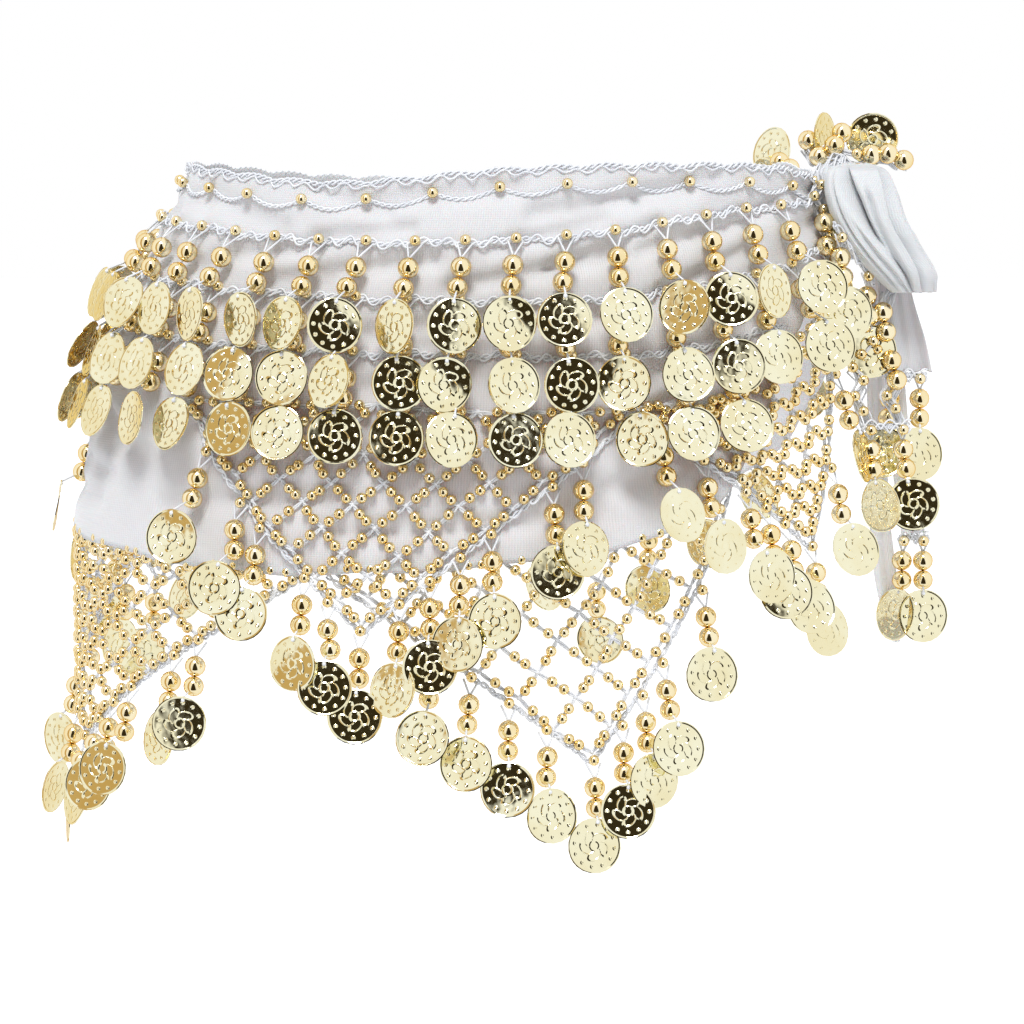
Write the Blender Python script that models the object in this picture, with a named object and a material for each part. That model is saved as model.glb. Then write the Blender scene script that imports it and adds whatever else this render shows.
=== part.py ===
"""Coin belt: a voile hip wrap knotted at one side, with coin fringes and beaded nets.

The belt keeps the form that it has when it is worn, round an empty hip shape.
+Z is up, the front faces -Y and the knot is at +X. The origin is the middle of the
top opening, where the hips hold the belt. All sizes are in metres.
"""

import math
from collections import namedtuple

import bpy
import numpy as np
from mathutils import Vector

# Form of the hips that the cloth lies on
TOP_HALF_WIDTH = 0.1455
TOP_HALF_DEPTH = 0.105
HIP_HALF_WIDTH = 0.187
HIP_HALF_DEPTH = 0.125
HIP_DROP = 0.170        # height from the top opening down to the fullest part
HIP_CURVE = 1.5         # how early the hips swell below the top opening
SWAY = -0.013           # the fullest part stands this far off the top opening's middle

# Cloth
CLOTH = 0.0012          # wall of the wrap
CLOTH_COLUMNS = 46
CLOTH_ROWS = 10
FOLD_DEPTH = 0.0036     # gathers at the knot
FOLD_COUNT = 3
FOLD_REACH = 0.045      # arc length over which the gathers die out
KNOT_FRONT = 78.0       # angles where the wrap's two ends run into the knot
KNOT_BACK = -268.0

# Seams and edgings
SEAM = 0.0004           # clear gap between neighbouring pieces
BRAID_WIDTH = 0.0028
BRAID_LOW = 0.0012      # the braid's back above the cloth, and its front
BRAID_HIGH = 0.0026
ROOT = 0.0026           # width of a strand where it leaves the braid

# Fringe
ROW_PITCH = 0.0262      # between strands of one row
ROW_LAYERS = {"row_1": 0.0134, "row_2": 0.0122, "row_3": 0.0110}
ROW_ENDS = {"row_1": (-255.0, 66.0), "row_2": (-249.0, 60.0), "row_3": (-242.0, 50.0)}
BEAD_OUT = 0.0050
BEAD_STEP = 0.0012       # the lower bead stands further out, clear of the next braid
COIN_STEP = 0.0021       # overlapping coins lie in steps of this

# Nets
CORD = 0.0017           # half width of a netting cord
CORD_RISE = 0.0016      # height of a netting cord
OVER_CLOTH = 0.0009     # back of a net that lies on the cloth
UNDER_CLOTH = -0.0039   # back of a net that hangs from the hem's inner side
HEM_LAP = 0.0020        # how far such a net reaches up behind the hem

# Strand: a thread with two round beads and a coin. Widths are halves.
Level = namedtuple("Level", "drop out width thick")
BEAD = 0.0034
COIN_DROP = 0.0358
COIN_REACH = 0.0262      # a coin this far below another is clear of it
COIN_WIDTH = 0.0120
COIN_THICK = 0.0004


def strand_levels(bead_out, coin_out):
    """The sections of one strand, from its first bead to the foot of its coin."""
    return [
        Level(0.0105, bead_out, BEAD, BEAD),
        Level(0.0152, bead_out, 0.0014, 0.0014),
        Level(0.0200, bead_out + BEAD_STEP, BEAD, BEAD),
        Level(0.0243, coin_out, COIN_WIDTH / 2, COIN_THICK),
        Level(COIN_DROP, coin_out, COIN_WIDTH, COIN_THICK),
        Level(0.0474, coin_out, COIN_WIDTH / 2, COIN_THICK),
    ]


# Heights of the wrap's edges and of the braids sewn on it, round the hips.
# Angle 0 is the front, positive towards the knot; -180 is the back.
Heights = namedtuple("Heights", "angle top row_1 row_2 row_3 net hem")
HEIGHTS = [
    Heights(-268, -0.006, -0.013, -0.024, -0.033, -0.038, -0.044),
    Heights(-258, -0.003, -0.017, -0.039, -0.060, -0.066, -0.070),
    Heights(-246, 0.000, -0.021, -0.046, -0.071, -0.092, -0.106),
    Heights(-232, -0.002, -0.024, -0.050, -0.075, -0.098, -0.138),
    Heights(-215, -0.005, -0.028, -0.054, -0.078, -0.101, -0.162),
    Heights(-180, -0.008, -0.031, -0.056, -0.080, -0.103, -0.168),
    Heights(-145, -0.006, -0.029, -0.054, -0.078, -0.102, -0.167),
    Heights(-110, 0.000, -0.024, -0.049, -0.073, -0.099, -0.165),
    Heights(-90, 0.001, -0.0235, -0.048, -0.072, -0.098, -0.166),
    Heights(-58, -0.002, -0.027, -0.052, -0.076, -0.101, -0.173),
    Heights(-28, -0.006, -0.032, -0.056, -0.080, -0.104, -0.179),
    Heights(0, 0.000, -0.0315, -0.058, -0.082, -0.106, -0.175),
    Heights(22, 0.002, -0.027, -0.057, -0.082, -0.106, -0.166),
    Heights(32, 0.002, -0.023, -0.053, -0.080, -0.104, -0.156),
    Heights(38, 0.002, -0.021, -0.051, -0.078, -0.101, -0.143),
    Heights(44, 0.002, -0.019, -0.049, -0.075, -0.095, -0.119),
    Heights(52, 0.001, -0.018, -0.045, -0.070, -0.084, -0.090),
    Heights(60, 0.000, -0.017, -0.042, -0.064, -0.070, -0.064),
    Heights(68, -0.002, -0.016, -0.036, -0.052, -0.058, -0.050),
    Heights(78, -0.006, -0.013, -0.024, -0.033, -0.040, -0.042),
]


def height(line, angle):
    """Height of an edge or braid at an angle: a smooth curve through the table's rows."""
    angles = [row.angle for row in HEIGHTS]
    values = [getattr(row, line) for row in HEIGHTS]
    slopes = np.gradient(values, angles)
    i = int(np.clip(np.searchsorted(angles, angle) - 1, 0, len(angles) - 2))
    span = angles[i + 1] - angles[i]
    t = min(max((angle - angles[i]) / span, 0.0), 1.0)
    rise = t * t * (3 - 2 * t)
    return (
        values[i] * (1 - rise)
        + values[i + 1] * rise
        + span * slopes[i] * t * (1 - t) ** 2
        - span * slopes[i + 1] * t * t * (1 - t)
    )


def hip_point(angle, z, out=0.0):
    """A point on the hips at an angle and a height, moved outwards."""
    fall = min(max(-z / HIP_DROP, 0.0), 1.0)
    swell = 1 - (1 - fall) ** HIP_CURVE
    half_width = TOP_HALF_WIDTH + swell * (HIP_HALF_WIDTH - TOP_HALF_WIDTH) + out
    half_depth = TOP_HALF_DEPTH + swell * (HIP_HALF_DEPTH - TOP_HALF_DEPTH) + out
    turn = math.radians(angle)
    return Vector((swell * SWAY + half_width * math.sin(turn), -half_depth * math.cos(turn), z))


def outward(angle):
    """Level unit vector square to the hips at an angle."""
    turn = math.radians(angle)
    return Vector((HIP_HALF_DEPTH * math.sin(turn), -HIP_HALF_WIDTH * math.cos(turn), 0)).normalized()


def sideways(angle):
    """Level unit vector along the hips, towards growing angles."""
    away = outward(angle)
    return Vector((-away.y, away.x, 0))


# Arc length round the fullest part of the hips, from the front, against the angle
STEPS = np.linspace(-290.0, 80.0, 741)
RING = np.array([hip_point(a, -HIP_DROP) for a in STEPS])
ARCS = np.concatenate([[0.0], np.cumsum(np.linalg.norm(np.diff(RING, axis=0), axis=1))])
ARCS -= np.interp(0.0, STEPS, ARCS)


def arc_at(angle):
    return float(np.interp(angle, STEPS, ARCS))


def angle_at(arc):
    return float(np.interp(arc, ARCS, STEPS))


def mix(a, b, share):
    return a + (b - a) * share


def finish(name, colour, roughness, metallic=0.0):
    """A plain material with a colour, a roughness and a metallic value."""
    material = bpy.data.materials.new(name)
    material.use_nodes = True
    shader = material.node_tree.nodes["Principled BSDF"]
    shader.inputs["Base Color"].default_value = (*colour, 1.0)
    shader.inputs["Roughness"].default_value = roughness
    shader.inputs["Metallic"].default_value = metallic
    return material


def add_part(name, points, faces, material):
    """Links one closed mesh or sheet as a named object."""
    mesh = bpy.data.meshes.new(name)
    mesh.from_pydata([tuple(p) for p in points], [], faces)
    mesh.materials.append(material)
    part = bpy.data.objects.new(name, mesh)
    bpy.context.collection.objects.link(part)
    return part


def add_sheet(name, rows, material, thickness, offset):
    """A sheet of cloth through rows of points, given its thickness by a Solidify modifier."""
    across = len(rows[0])
    faces = [
        (r * across + c, (r + 1) * across + c, (r + 1) * across + c + 1, r * across + c + 1)
        for r in range(len(rows) - 1)
        for c in range(across - 1)
    ]
    sheet = add_part(name, [p for row in rows for p in row], faces, material)
    sheet.data.shade_smooth()
    wall = sheet.modifiers.new("wall", "SOLIDIFY")
    wall.thickness = thickness
    wall.offset = offset
    return sheet


def add_bundle(name, rings, material):
    """A rounded bundle of gathered cloth: closed rings bridged in order, with a cap at each end."""
    count = len(rings[0])
    faces = [
        (r * count + i, r * count + (i + 1) % count, (r + 1) * count + (i + 1) % count, (r + 1) * count + i)
        for r in range(len(rings) - 1)
        for i in range(count)
    ]
    last = (len(rings) - 1) * count
    faces.append(tuple(range(count - 1, -1, -1)))
    faces.append(tuple(range(last, last + count)))
    bundle = add_part(name, [p for ring in rings for p in ring], faces, material)
    bundle.data.shade_smooth()
    return bundle


def add_wrap(material):
    """The strip of cloth round the hips, gathered into the knot at both ends."""
    first, last = arc_at(KNOT_BACK), arc_at(KNOT_FRONT)
    rows = []
    for r in range(CLOTH_ROWS + 1):
        down = r / CLOTH_ROWS
        row = []
        for c in range(CLOTH_COLUMNS + 1):
            arc = mix(first, last, c / CLOTH_COLUMNS)
            angle = angle_at(arc)
            gather = math.exp(-min(arc - first, last - arc) / FOLD_REACH)
            groove = FOLD_DEPTH * gather * (0.5 - 0.5 * math.cos(2 * math.pi * FOLD_COUNT * down))
            z = mix(height("top", angle), height("hem", angle), down)
            row.append(hip_point(angle, z, -groove))
        rows.append(row)
    return add_sheet("wrap_cloth", rows, material, CLOTH, -1.0)


# A braid is a thin three-sided strip. A strand grows out of its foot at each stop.
Stop = namedtuple("Stop", "arc z along has_strand coin_out swing")


def braid_points(arc, z, fall, low, high):
    """Crest, front foot and back foot of a braid; fall is its unit direction across, in (arc, z)."""
    half = BRAID_WIDTH / 2
    crest_angle = angle_at(arc - fall[0] * half)
    foot_angle = angle_at(arc + fall[0] * half)
    crest_z = z - fall[1] * half
    foot_z = z + fall[1] * half
    return [
        hip_point(crest_angle, crest_z, (low + high) / 2),
        hip_point(foot_angle, foot_z, high),
        hip_point(foot_angle, foot_z, low),
    ]


def strand_rings(arc, z, swing, levels):
    """Four-cornered sections of a strand that lies against the hips from (arc, z).

    It hangs straight down at a swing of 0, and lies along the waist at 90 or -90 degrees.
    """
    turn = math.radians(swing)
    rings = []
    for level in levels:
        angle = angle_at(arc + math.sin(turn) * level.drop * HIP_HALF_WIDTH / TOP_HALF_WIDTH)
        middle = hip_point(angle, z - math.cos(turn) * level.drop, level.out)
        side = sideways(angle) * math.cos(turn) + Vector((0, 0, math.sin(turn)))
        rings.append(strand_ring(middle, side, outward(angle), level))
    return rings


def strand_ring(middle, side, away, level):
    across, depth = side * level.width, away * level.thick
    return [
        middle - across + depth,
        middle + across + depth,
        middle + across - depth,
        middle - across - depth,
    ]


def grow_strand(points, faces, root, rings):
    """Adds a strand's sections below the four root corners and closes its foot."""
    above = root
    for ring in rings:
        below = list(range(len(points), len(points) + 4))
        points.extend(ring)
        faces.extend(
            (above[i], below[i], below[(i + 1) % 4], above[(i + 1) % 4]) for i in range(4)
        )
        above = below
    faces.append(tuple(reversed(above)))


def add_fringe(name, stops, material, low, high, bead_out):
    """One braid with all its strands, as one closed piece."""
    points, faces = [], []
    previous = None
    for stop in stops:
        fall = (stop.along[1], -stop.along[0])
        shifts = (-ROOT / 2, ROOT / 2) if stop.has_strand else (0.0,)
        for number, shift in enumerate(shifts):
            arc = stop.arc + stop.along[0] * shift
            z = stop.z + stop.along[1] * shift
            here = list(range(len(points), len(points) + 3))
            points.extend(braid_points(arc, z, fall, low, high))
            if previous is None:
                faces.append((here[0], here[2], here[1]))
            else:
                faces.append((previous[0], previous[1], here[1], here[0]))
                faces.append((previous[2], previous[0], here[0], here[2]))
                if number == 1:
                    root = [previous[1], here[1], here[2], previous[2]]
                    levels = strand_levels(bead_out, stop.coin_out)
                    hung = stop.arc + fall[0] * BRAID_WIDTH
                    rings = strand_rings(hung, stop.z, stop.swing, levels)
                    grow_strand(points, faces, root, rings)
                else:
                    faces.append((previous[1], previous[2], here[2], here[1]))
            previous = here
    faces.append((previous[0], previous[1], previous[2]))
    return add_part(name, points, faces, material)


def row_stops(line, number):
    """Evenly spaced strands along one of the three rows; every other row is half a pitch on."""
    start, end = (arc_at(a) for a in ROW_ENDS[line])
    count = int((end - start) / ROW_PITCH)
    stagger = ROW_PITCH * 0.5 * (number % 2)
    arcs = [start + stagger + ROW_PITCH * (i + 0.5) for i in range(count)]
    edges = [start - ROOT, end + ROOT * 3 + stagger]
    stops = []
    for arc in [edges[0], *arcs, edges[1]]:
        ahead = height(line, angle_at(arc + ROOT)) - height(line, angle_at(arc - ROOT))
        along = Vector((2 * ROOT, ahead)).normalized()
        strand = arc in arcs
        z = height(line, angle_at(arc))
        stops.append(Stop(arc, z, along, strand, ROW_LAYERS[line], 0))
    return stops


# Nets are triangles of diamond mesh that hang from a line. Corners are angles.
Net = namedtuple("Net", "name line left right apex apex_z cells strands over")
NETS = [
    Net("front_net", "net", -47, 22, -15, -0.200, 9, (2, 4, 5, 7, 8, 9, 10, 11, 12, 13, 15, 16), True),
    Net("left_net", "net", -96, -156, -126, -0.196, 8, (2, 4, 6, 8, 10, 12, 14), True),
    Net("back_net", "net", -168, -228, -198, -0.196, 8, (2, 4, 6, 8, 10, 12, 14), True),
    Net("knot_net", "net", 24, 66, 53, -0.166, 8, (1, 3, 5, 6, 7, 8, 11, 14), True),
    Net("hem_net_front", "hem", -20, 38, 16.5, -0.258, 7, (3, 4, 5, 6, 7, 8, 9, 10, 12), False),
    Net("hem_net_left", "hem", -130, -24, -75, -0.259, 10, (3, 5, 7, 9, 10, 11, 12, 13, 15, 16), False),
]


def net_rows(net):
    """(arc, z) of the net's knots, row by row: each row has one knot less, down to the apex."""
    corner_arcs = sorted((arc_at(net.left), arc_at(net.right)))
    apex_arc = arc_at(net.apex)
    lap = 0.0 if net.over else HEM_LAP
    rows = []
    for j in range(net.cells + 1):
        share = j / net.cells
        start, end = (mix(arc, apex_arc, share) for arc in corner_arcs)
        row = []
        for k in range(net.cells + 1 - j):
            top_arc = mix(*corner_arcs, (k + j / 2) / net.cells)
            top_z = height(net.line, angle_at(top_arc)) + lap
            arc = mix(start, end, k / max(net.cells - j, 1))
            row.append((arc, mix(top_z, net.apex_z, share)))
        rows.append(row)
    return rows


def add_net(name, rows, low, material, keep=None):
    """A net as one closed piece: cords of three-sided section that meet at knots.

    A knot is a small diamond with a raised middle. keep(column) picks the knots of one part,
    where column counts from the middle of the net.
    """
    corners = {"top": (0, 1), "right": (1, 0), "bottom": (0, -1), "left": (-1, 0)}
    points, faces, knots = [], [], {}
    cells = len(rows) - 1
    for j, row in enumerate(rows):
        for k, (arc, z) in enumerate(row):
            column = k - (cells - j) / 2
            if keep and not keep(column):
                continue
            knot = {}
            for corner, (right, up) in corners.items():
                knot[corner] = len(points)
                points.append(hip_point(angle_at(arc + right * CORD), z + up * CORD, low))
            knot["crown"] = len(points)
            points.append(hip_point(angle_at(arc), z, low + CORD_RISE))
            knots[j, k] = knot
            faces.append(tuple(knot[c] for c in ("top", "right", "bottom", "left")))
    joined = set()

    def join(one, one_side, other, other_side):
        """A cord from one knot's side to another's; each side is its two corners, in order."""
        if one not in knots or other not in knots:
            return
        joined.update({(one, one_side), (other, other_side)})
        (a, b), (c, d) = one_side, other_side
        start, end = knots[one], knots[other]
        faces.append((start[b], start[a], end[d], end[c]))
        faces.append((start[a], start["crown"], end["crown"], end[d]))
        faces.append((start["crown"], start[b], end[c], end["crown"]))

    upper_left, upper_right = ("left", "top"), ("top", "right")
    lower_right, lower_left = ("right", "bottom"), ("bottom", "left")
    for j, k in sorted(knots):
        if k > 0 or j == 0:
            join((j, k), lower_left, (j + 1, k - 1), upper_right)
        join((j, k), lower_right, (j + 1, k), upper_left)
        if j == 0:
            join((j, k), upper_right, (j, k + 1), upper_left)
    for place, knot in knots.items():
        for side in (upper_left, upper_right, lower_right, lower_left):
            if (place, side) not in joined:
                faces.append((knot[side[1]], knot[side[0]], knot["crown"]))
    return add_part(name, points, faces, material)


def coin_layers(net, path):
    """How many coins lie under each coin: one that overlaps the next lower one lies over it."""
    layers = {net.cells: 0}
    for way in (-1, 1):
        below = net.cells
        for i in range(net.cells + way, net.cells + way * net.cells, way):
            if i in net.strands:
                apart = path[i] - path[below]
                near = abs(apart.x) < 2 * COIN_WIDTH + SEAM and abs(apart.y) < COIN_REACH
                layers[i] = layers[below] + 1 if near else 0
                below = i
    return layers


def edging_stops(net, rows, shift):
    """Stops of the braid along the net's two lower sides, moved out square to the sides."""
    path = [row[0] for row in rows] + [row[-1] for row in reversed(rows[:-1])]
    path = [Vector(p) for p in path]
    first_layer = BEAD_OUT + BEAD_STEP + BEAD + 0.0008 + (0.0 if net.over else UNDER_CLOTH)
    layers = coin_layers(net, path)
    stops = []
    for i, here in enumerate(path):
        before = (here - path[i - 1]).normalized() if i else None
        after = (path[i + 1] - here).normalized() if i + 1 < len(path) else None
        before, after = before or after, after or before
        along = (before + after).normalized()
        across = Vector((along.y, -along.x))
        bend = across.dot(Vector((before.y, -before.x)))
        place = here + across * (shift / bend)
        coin_out = first_layer + COIN_STEP * layers.get(i, 0)
        stops.append(Stop(place.x, place.y, along, i in net.strands, coin_out, 0))
    return stops[1:-1]


def add_nets(cord, gold):
    for net in NETS:
        rows = net_rows(net)
        low = OVER_CLOTH if net.over else UNDER_CLOTH
        if net.name == "hem_net_left":
            add_net("hem_net_left_front", rows, low, cord, lambda column: column >= 0)
            add_net("hem_net_left_back", rows, low, cord, lambda column: column < 0)
        else:
            add_net(net.name, rows, low, cord)
        shift = 0.8 * CORD + SEAM + BRAID_WIDTH / 2
        stops = edging_stops(net, rows, shift)
        bead_out = BEAD_OUT if net.over else BEAD_OUT + low
        add_fringe(net.name + "_coins", stops, gold, low, low + CORD_RISE, bead_out)


# Two strands of the back that have been thrown up and lie along the top edge, by the knot
Thrown = namedtuple("Thrown", "z swing coin_out")
THROWN_ANGLE = -250.0
THROWN = [Thrown(-0.0125, 96, 0.0104), Thrown(-0.0050, 108, 0.0140)]


def add_rows(gold):
    for number, line in enumerate(("row_1", "row_2", "row_3")):
        stops = row_stops(line, number)
        add_fringe("coin_" + line, stops, gold, BRAID_LOW, BRAID_HIGH, BEAD_OUT)
    arc = arc_at(THROWN_ANGLE)
    thrown = [Stop(arc, t.z, (0.0, 1.0), True, t.coin_out, t.swing) for t in THROWN]
    add_fringe("thrown_coins", thrown, gold, BRAID_LOW / 2, BRAID_HIGH, BEAD_OUT)


# The knot: a round wrap over both cloth ends, a hanging loop, a folded-over flap and three ends.
KNOT_ANGLE = 85.0
KNOT_Z = -0.020
Ring = namedtuple("Ring", "x y z width depth turn")
LOOP = [
    Ring(0.1625, -0.0239, 0.0015, 0.0060, 0.0050, 0),
    Ring(0.1625, -0.0309, -0.0015, 0.0135, 0.0080, 5),
    Ring(0.1640, -0.0339, -0.0110, 0.0170, 0.0105, 10),
    Ring(0.1680, -0.0359, -0.0240, 0.0175, 0.0120, 14),
    Ring(0.1755, -0.0359, -0.0370, 0.0175, 0.0120, 18),
    Ring(0.1835, -0.0349, -0.0480, 0.0160, 0.0105, 20),
    Ring(0.1885, -0.0339, -0.0570, 0.0110, 0.0070, 20),
]
LOOP_POINTS = 20
LOOP_FOLDS = 5
FLAP = [
    Ring(0.1687, -0.0175, -0.0080, 0.0045, 0.0030, 0),
    Ring(0.1721, -0.0175, -0.0190, 0.0085, 0.0035, 0),
    Ring(0.1790, -0.0175, -0.0320, 0.0120, 0.0035, 0),
    Ring(0.1840, -0.0175, -0.0440, 0.0105, 0.0030, 0),
    Ring(0.1855, -0.0175, -0.0520, 0.0055, 0.0022, 0),
]
FLAP_POINTS = 10


def fold_ring(ring, count, folds, depth):
    """A level oval ring whose outline is drawn in between folds."""
    turn = math.radians(ring.turn)
    points = []
    for i in range(count):
        around = 2 * math.pi * i / count
        reach = 1 - depth * (0.5 - 0.5 * math.cos(folds * around))
        u = ring.width * reach * math.cos(around)
        v = ring.depth * reach * math.sin(around)
        points.append(
            Vector(
                (
                    ring.x + u * math.cos(turn) - v * math.sin(turn),
                    ring.y + u * math.sin(turn) + v * math.cos(turn),
                    ring.z,
                )
            )
        )
    return points


def add_knot(cloth):
    """The wrap of the knot lies just outside both cloth ends and covers the slit between them."""
    rings = []
    for i in range(9):
        tilt = math.radians(-80 + 20 * i)
        z = KNOT_Z + 0.0225 * math.sin(tilt)
        size = math.cos(tilt)
        ring = []
        for j in range(14):
            around = 2 * math.pi * j / 14
            fold = 1 - 0.12 * (0.5 - 0.5 * math.cos(5 * around))
            angle = KNOT_ANGLE + 9.7 * size * math.cos(around)
            out = 0.0062 + 0.0100 * size * fold * math.sin(around)
            ring.append(hip_point(angle, z, out))
        rings.append(ring[::-1])
    add_bundle("knot_wrap", rings, cloth)
    loop = [fold_ring(ring, LOOP_POINTS, LOOP_FOLDS, 0.22)[::-1] for ring in LOOP]
    add_bundle("knot_loop", loop, cloth)
    flap = [fold_ring(ring, FLAP_POINTS, 0, 0.0)[::-1] for ring in FLAP]
    add_bundle("knot_flap", flap, cloth)


End = namedtuple("End", "x y z width wave")
UPPER_END = [
    End(0.1790, -0.0228, -0.0440, 0.0060, 0.0000),
    End(0.1815, -0.0228, -0.0640, 0.0085, 0.0010),
    End(0.1840, -0.0228, -0.0800, 0.0110, 0.0025),
    End(0.1860, -0.0228, -0.0940, 0.0122, 0.0035),
]
LOWER_END = [
    End(0.1815, -0.0130, -0.0300, 0.0040, 0.0000),
    End(0.1820, -0.0130, -0.1000, 0.0045, 0.0010),
    End(0.1860, -0.0130, -0.1400, 0.0050, 0.0015),
    End(0.1910, -0.0130, -0.1700, 0.0055, 0.0015),
]
INNER_END = [
    End(0.1718, -0.0060, -0.0260, 0.0040, 0.0000),
    End(0.1740, -0.0060, -0.1100, 0.0045, 0.0010),
    End(0.1755, -0.0060, -0.1600, 0.0048, 0.0015),
    End(0.1805, -0.0060, -0.2020, 0.0045, 0.0010),
    End(0.1840, -0.0060, -0.2210, 0.0016, 0.0000),
]
END_COLUMNS = 6


def add_end(name, sections, cloth):
    """A hanging end of the strip, a flat tail with a soft wave across it."""
    rows = []
    for end in sections:
        row = []
        for c in range(END_COLUMNS + 1):
            across = 2 * c / END_COLUMNS - 1
            ripple = end.wave * math.sin(2.4 * across)
            row.append(Vector((end.x + across * end.width, end.y + ripple, end.z)))
        rows.append(row)
    return add_sheet(name, rows, cloth, CLOTH, 0.0)


# Strands that hang from the ends, or lie over the top of the knot
Free = namedtuple("Free", "x y z lean out")


def add_free_fringe(name, roots, gold):
    """A short straight braid with strands that run the way each one leans from straight down."""
    points, faces = [], []
    previous = None
    first, last = roots[0], roots[-1]
    run = (Vector((last.x, last.y, last.z)) - Vector((first.x, first.y, first.z))).normalized()
    down = Vector((0, 0, -1)) if first.lean < 90 else Vector((0, 0, 1))
    fall = (down - run * down.dot(run)).normalized()
    away = fall.cross(run)
    for root in roots:
        place = Vector((root.x, root.y, root.z))
        for number, shift in enumerate((-ROOT / 2, ROOT / 2)):
            middle = place + run * shift
            here = list(range(len(points), len(points) + 3))
            points.extend(
                [
                    middle - fall * BRAID_WIDTH / 2,
                    middle + fall * BRAID_WIDTH / 2 + away * 0.001,
                    middle + fall * BRAID_WIDTH / 2 - away * 0.001,
                ]
            )
            if previous is None:
                faces.append((here[0], here[2], here[1]))
            else:
                faces.append((previous[0], previous[1], here[1], here[0]))
                faces.append((previous[2], previous[0], here[0], here[2]))
                if number == 1:
                    grow_strand(
                        points,
                        faces,
                        [previous[1], here[1], here[2], previous[2]],
                        free_rings(place, root, run, fall, away),
                    )
                else:
                    faces.append((previous[1], previous[2], here[2], here[1]))
            previous = here
    faces.append((previous[0], previous[1], previous[2]))
    return add_part(name, points, faces, gold)


def free_rings(place, root, run, fall, away):
    """Sections of a straight strand that leans along the braid."""
    lean = math.radians(root.lean if root.lean < 90 else root.lean - 180)
    thread = fall * math.cos(lean) + run * math.sin(lean)
    side = run * math.cos(lean) - fall * math.sin(lean)
    rings = []
    for level in strand_levels(0.0, root.out):
        middle = place + thread * level.drop + away * level.out
        rings.append(strand_ring(middle, side, away, level))
    return rings


UPPER_END_COINS = [
    Free(0.1795, -0.0228, -0.0958, -5, -0.0040),
    Free(0.1925, -0.0228, -0.0958, -1, 0.0040),
]
LOWER_END_COINS = [
    Free(0.1865, -0.0130, -0.1718, -5, -0.0040),
    Free(0.1955, -0.0130, -0.1718, -1, 0.0040),
]
KNOT_TOP_COINS = [
    Free(0.1567, 0.0112, -0.0230, 176, -0.0040),
    Free(0.1687, 0.0062, -0.0230, 184, 0.0040),
]


def main():
    for old in list(bpy.data.objects):
        bpy.data.objects.remove(old, do_unlink=True)
    cloth = finish("white voile", (0.80, 0.80, 0.82), 0.75)
    cord = finish("white crochet cord", (0.86, 0.86, 0.88), 0.65)
    gold = finish("gold beads and coins", (0.83, 0.66, 0.27), 0.22, 1.0)
    add_wrap(cloth)
    add_rows(gold)
    add_nets(cord, gold)
    add_knot(cloth)
    add_end("upper_end", UPPER_END, cloth)
    add_end("lower_end", LOWER_END, cloth)
    add_end("inner_end", INNER_END, cloth)
    add_free_fringe("upper_end_coins", UPPER_END_COINS, gold)
    add_free_fringe("lower_end_coins", LOWER_END_COINS, gold)
    add_free_fringe("knot_top_coins", KNOT_TOP_COINS, gold)


main()
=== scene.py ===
"""Looks of the coin belt: a white voile hip scarf with crochet edgings, beads and coins.

It is shown in its worn form, knotted at +X, with its front towards -Y. All sizes are in metres.
"""

import math
from collections import namedtuple

import bpy
import numpy as np
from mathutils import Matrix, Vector


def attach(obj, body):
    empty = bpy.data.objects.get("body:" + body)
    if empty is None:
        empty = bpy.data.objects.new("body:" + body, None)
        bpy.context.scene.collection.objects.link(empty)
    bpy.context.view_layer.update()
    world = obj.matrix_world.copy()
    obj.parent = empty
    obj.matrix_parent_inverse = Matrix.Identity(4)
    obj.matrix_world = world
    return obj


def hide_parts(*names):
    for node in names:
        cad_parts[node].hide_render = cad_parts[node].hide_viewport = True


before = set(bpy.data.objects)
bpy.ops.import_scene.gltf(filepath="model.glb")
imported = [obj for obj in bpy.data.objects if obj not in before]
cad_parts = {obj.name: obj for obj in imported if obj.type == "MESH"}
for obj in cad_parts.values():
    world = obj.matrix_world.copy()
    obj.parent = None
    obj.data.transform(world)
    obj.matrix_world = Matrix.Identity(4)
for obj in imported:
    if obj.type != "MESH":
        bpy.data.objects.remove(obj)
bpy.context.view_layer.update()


# Hip panel: one length of white tricot voile, laid round the hips with a curved hem.
# Both ends are gathered into the knot. Slanting creases run from the knot and the rows,
# and the thin cloth lets a little light through.

TOP_HALF_WIDTH = 0.1455
TOP_HALF_DEPTH = 0.105
HIP_HALF_WIDTH = 0.187
HIP_HALF_DEPTH = 0.125
HIP_DROP = 0.170        # from the top opening down to the fullest part
HIP_CURVE = 1.5
SWAY = -0.013
KNOT_FRONT = 78.0       # angles where the panel's ends run into the knot
KNOT_BACK = -268.0
VOILE = 0.0007
GATHER_DEPTH = 0.0036
GATHER_COUNT = 3
GATHER_REACH = 0.045
SCALLOP = 0.030         # length of one wave of the top edge
SCALLOP_RISE = 0.0016

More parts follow.
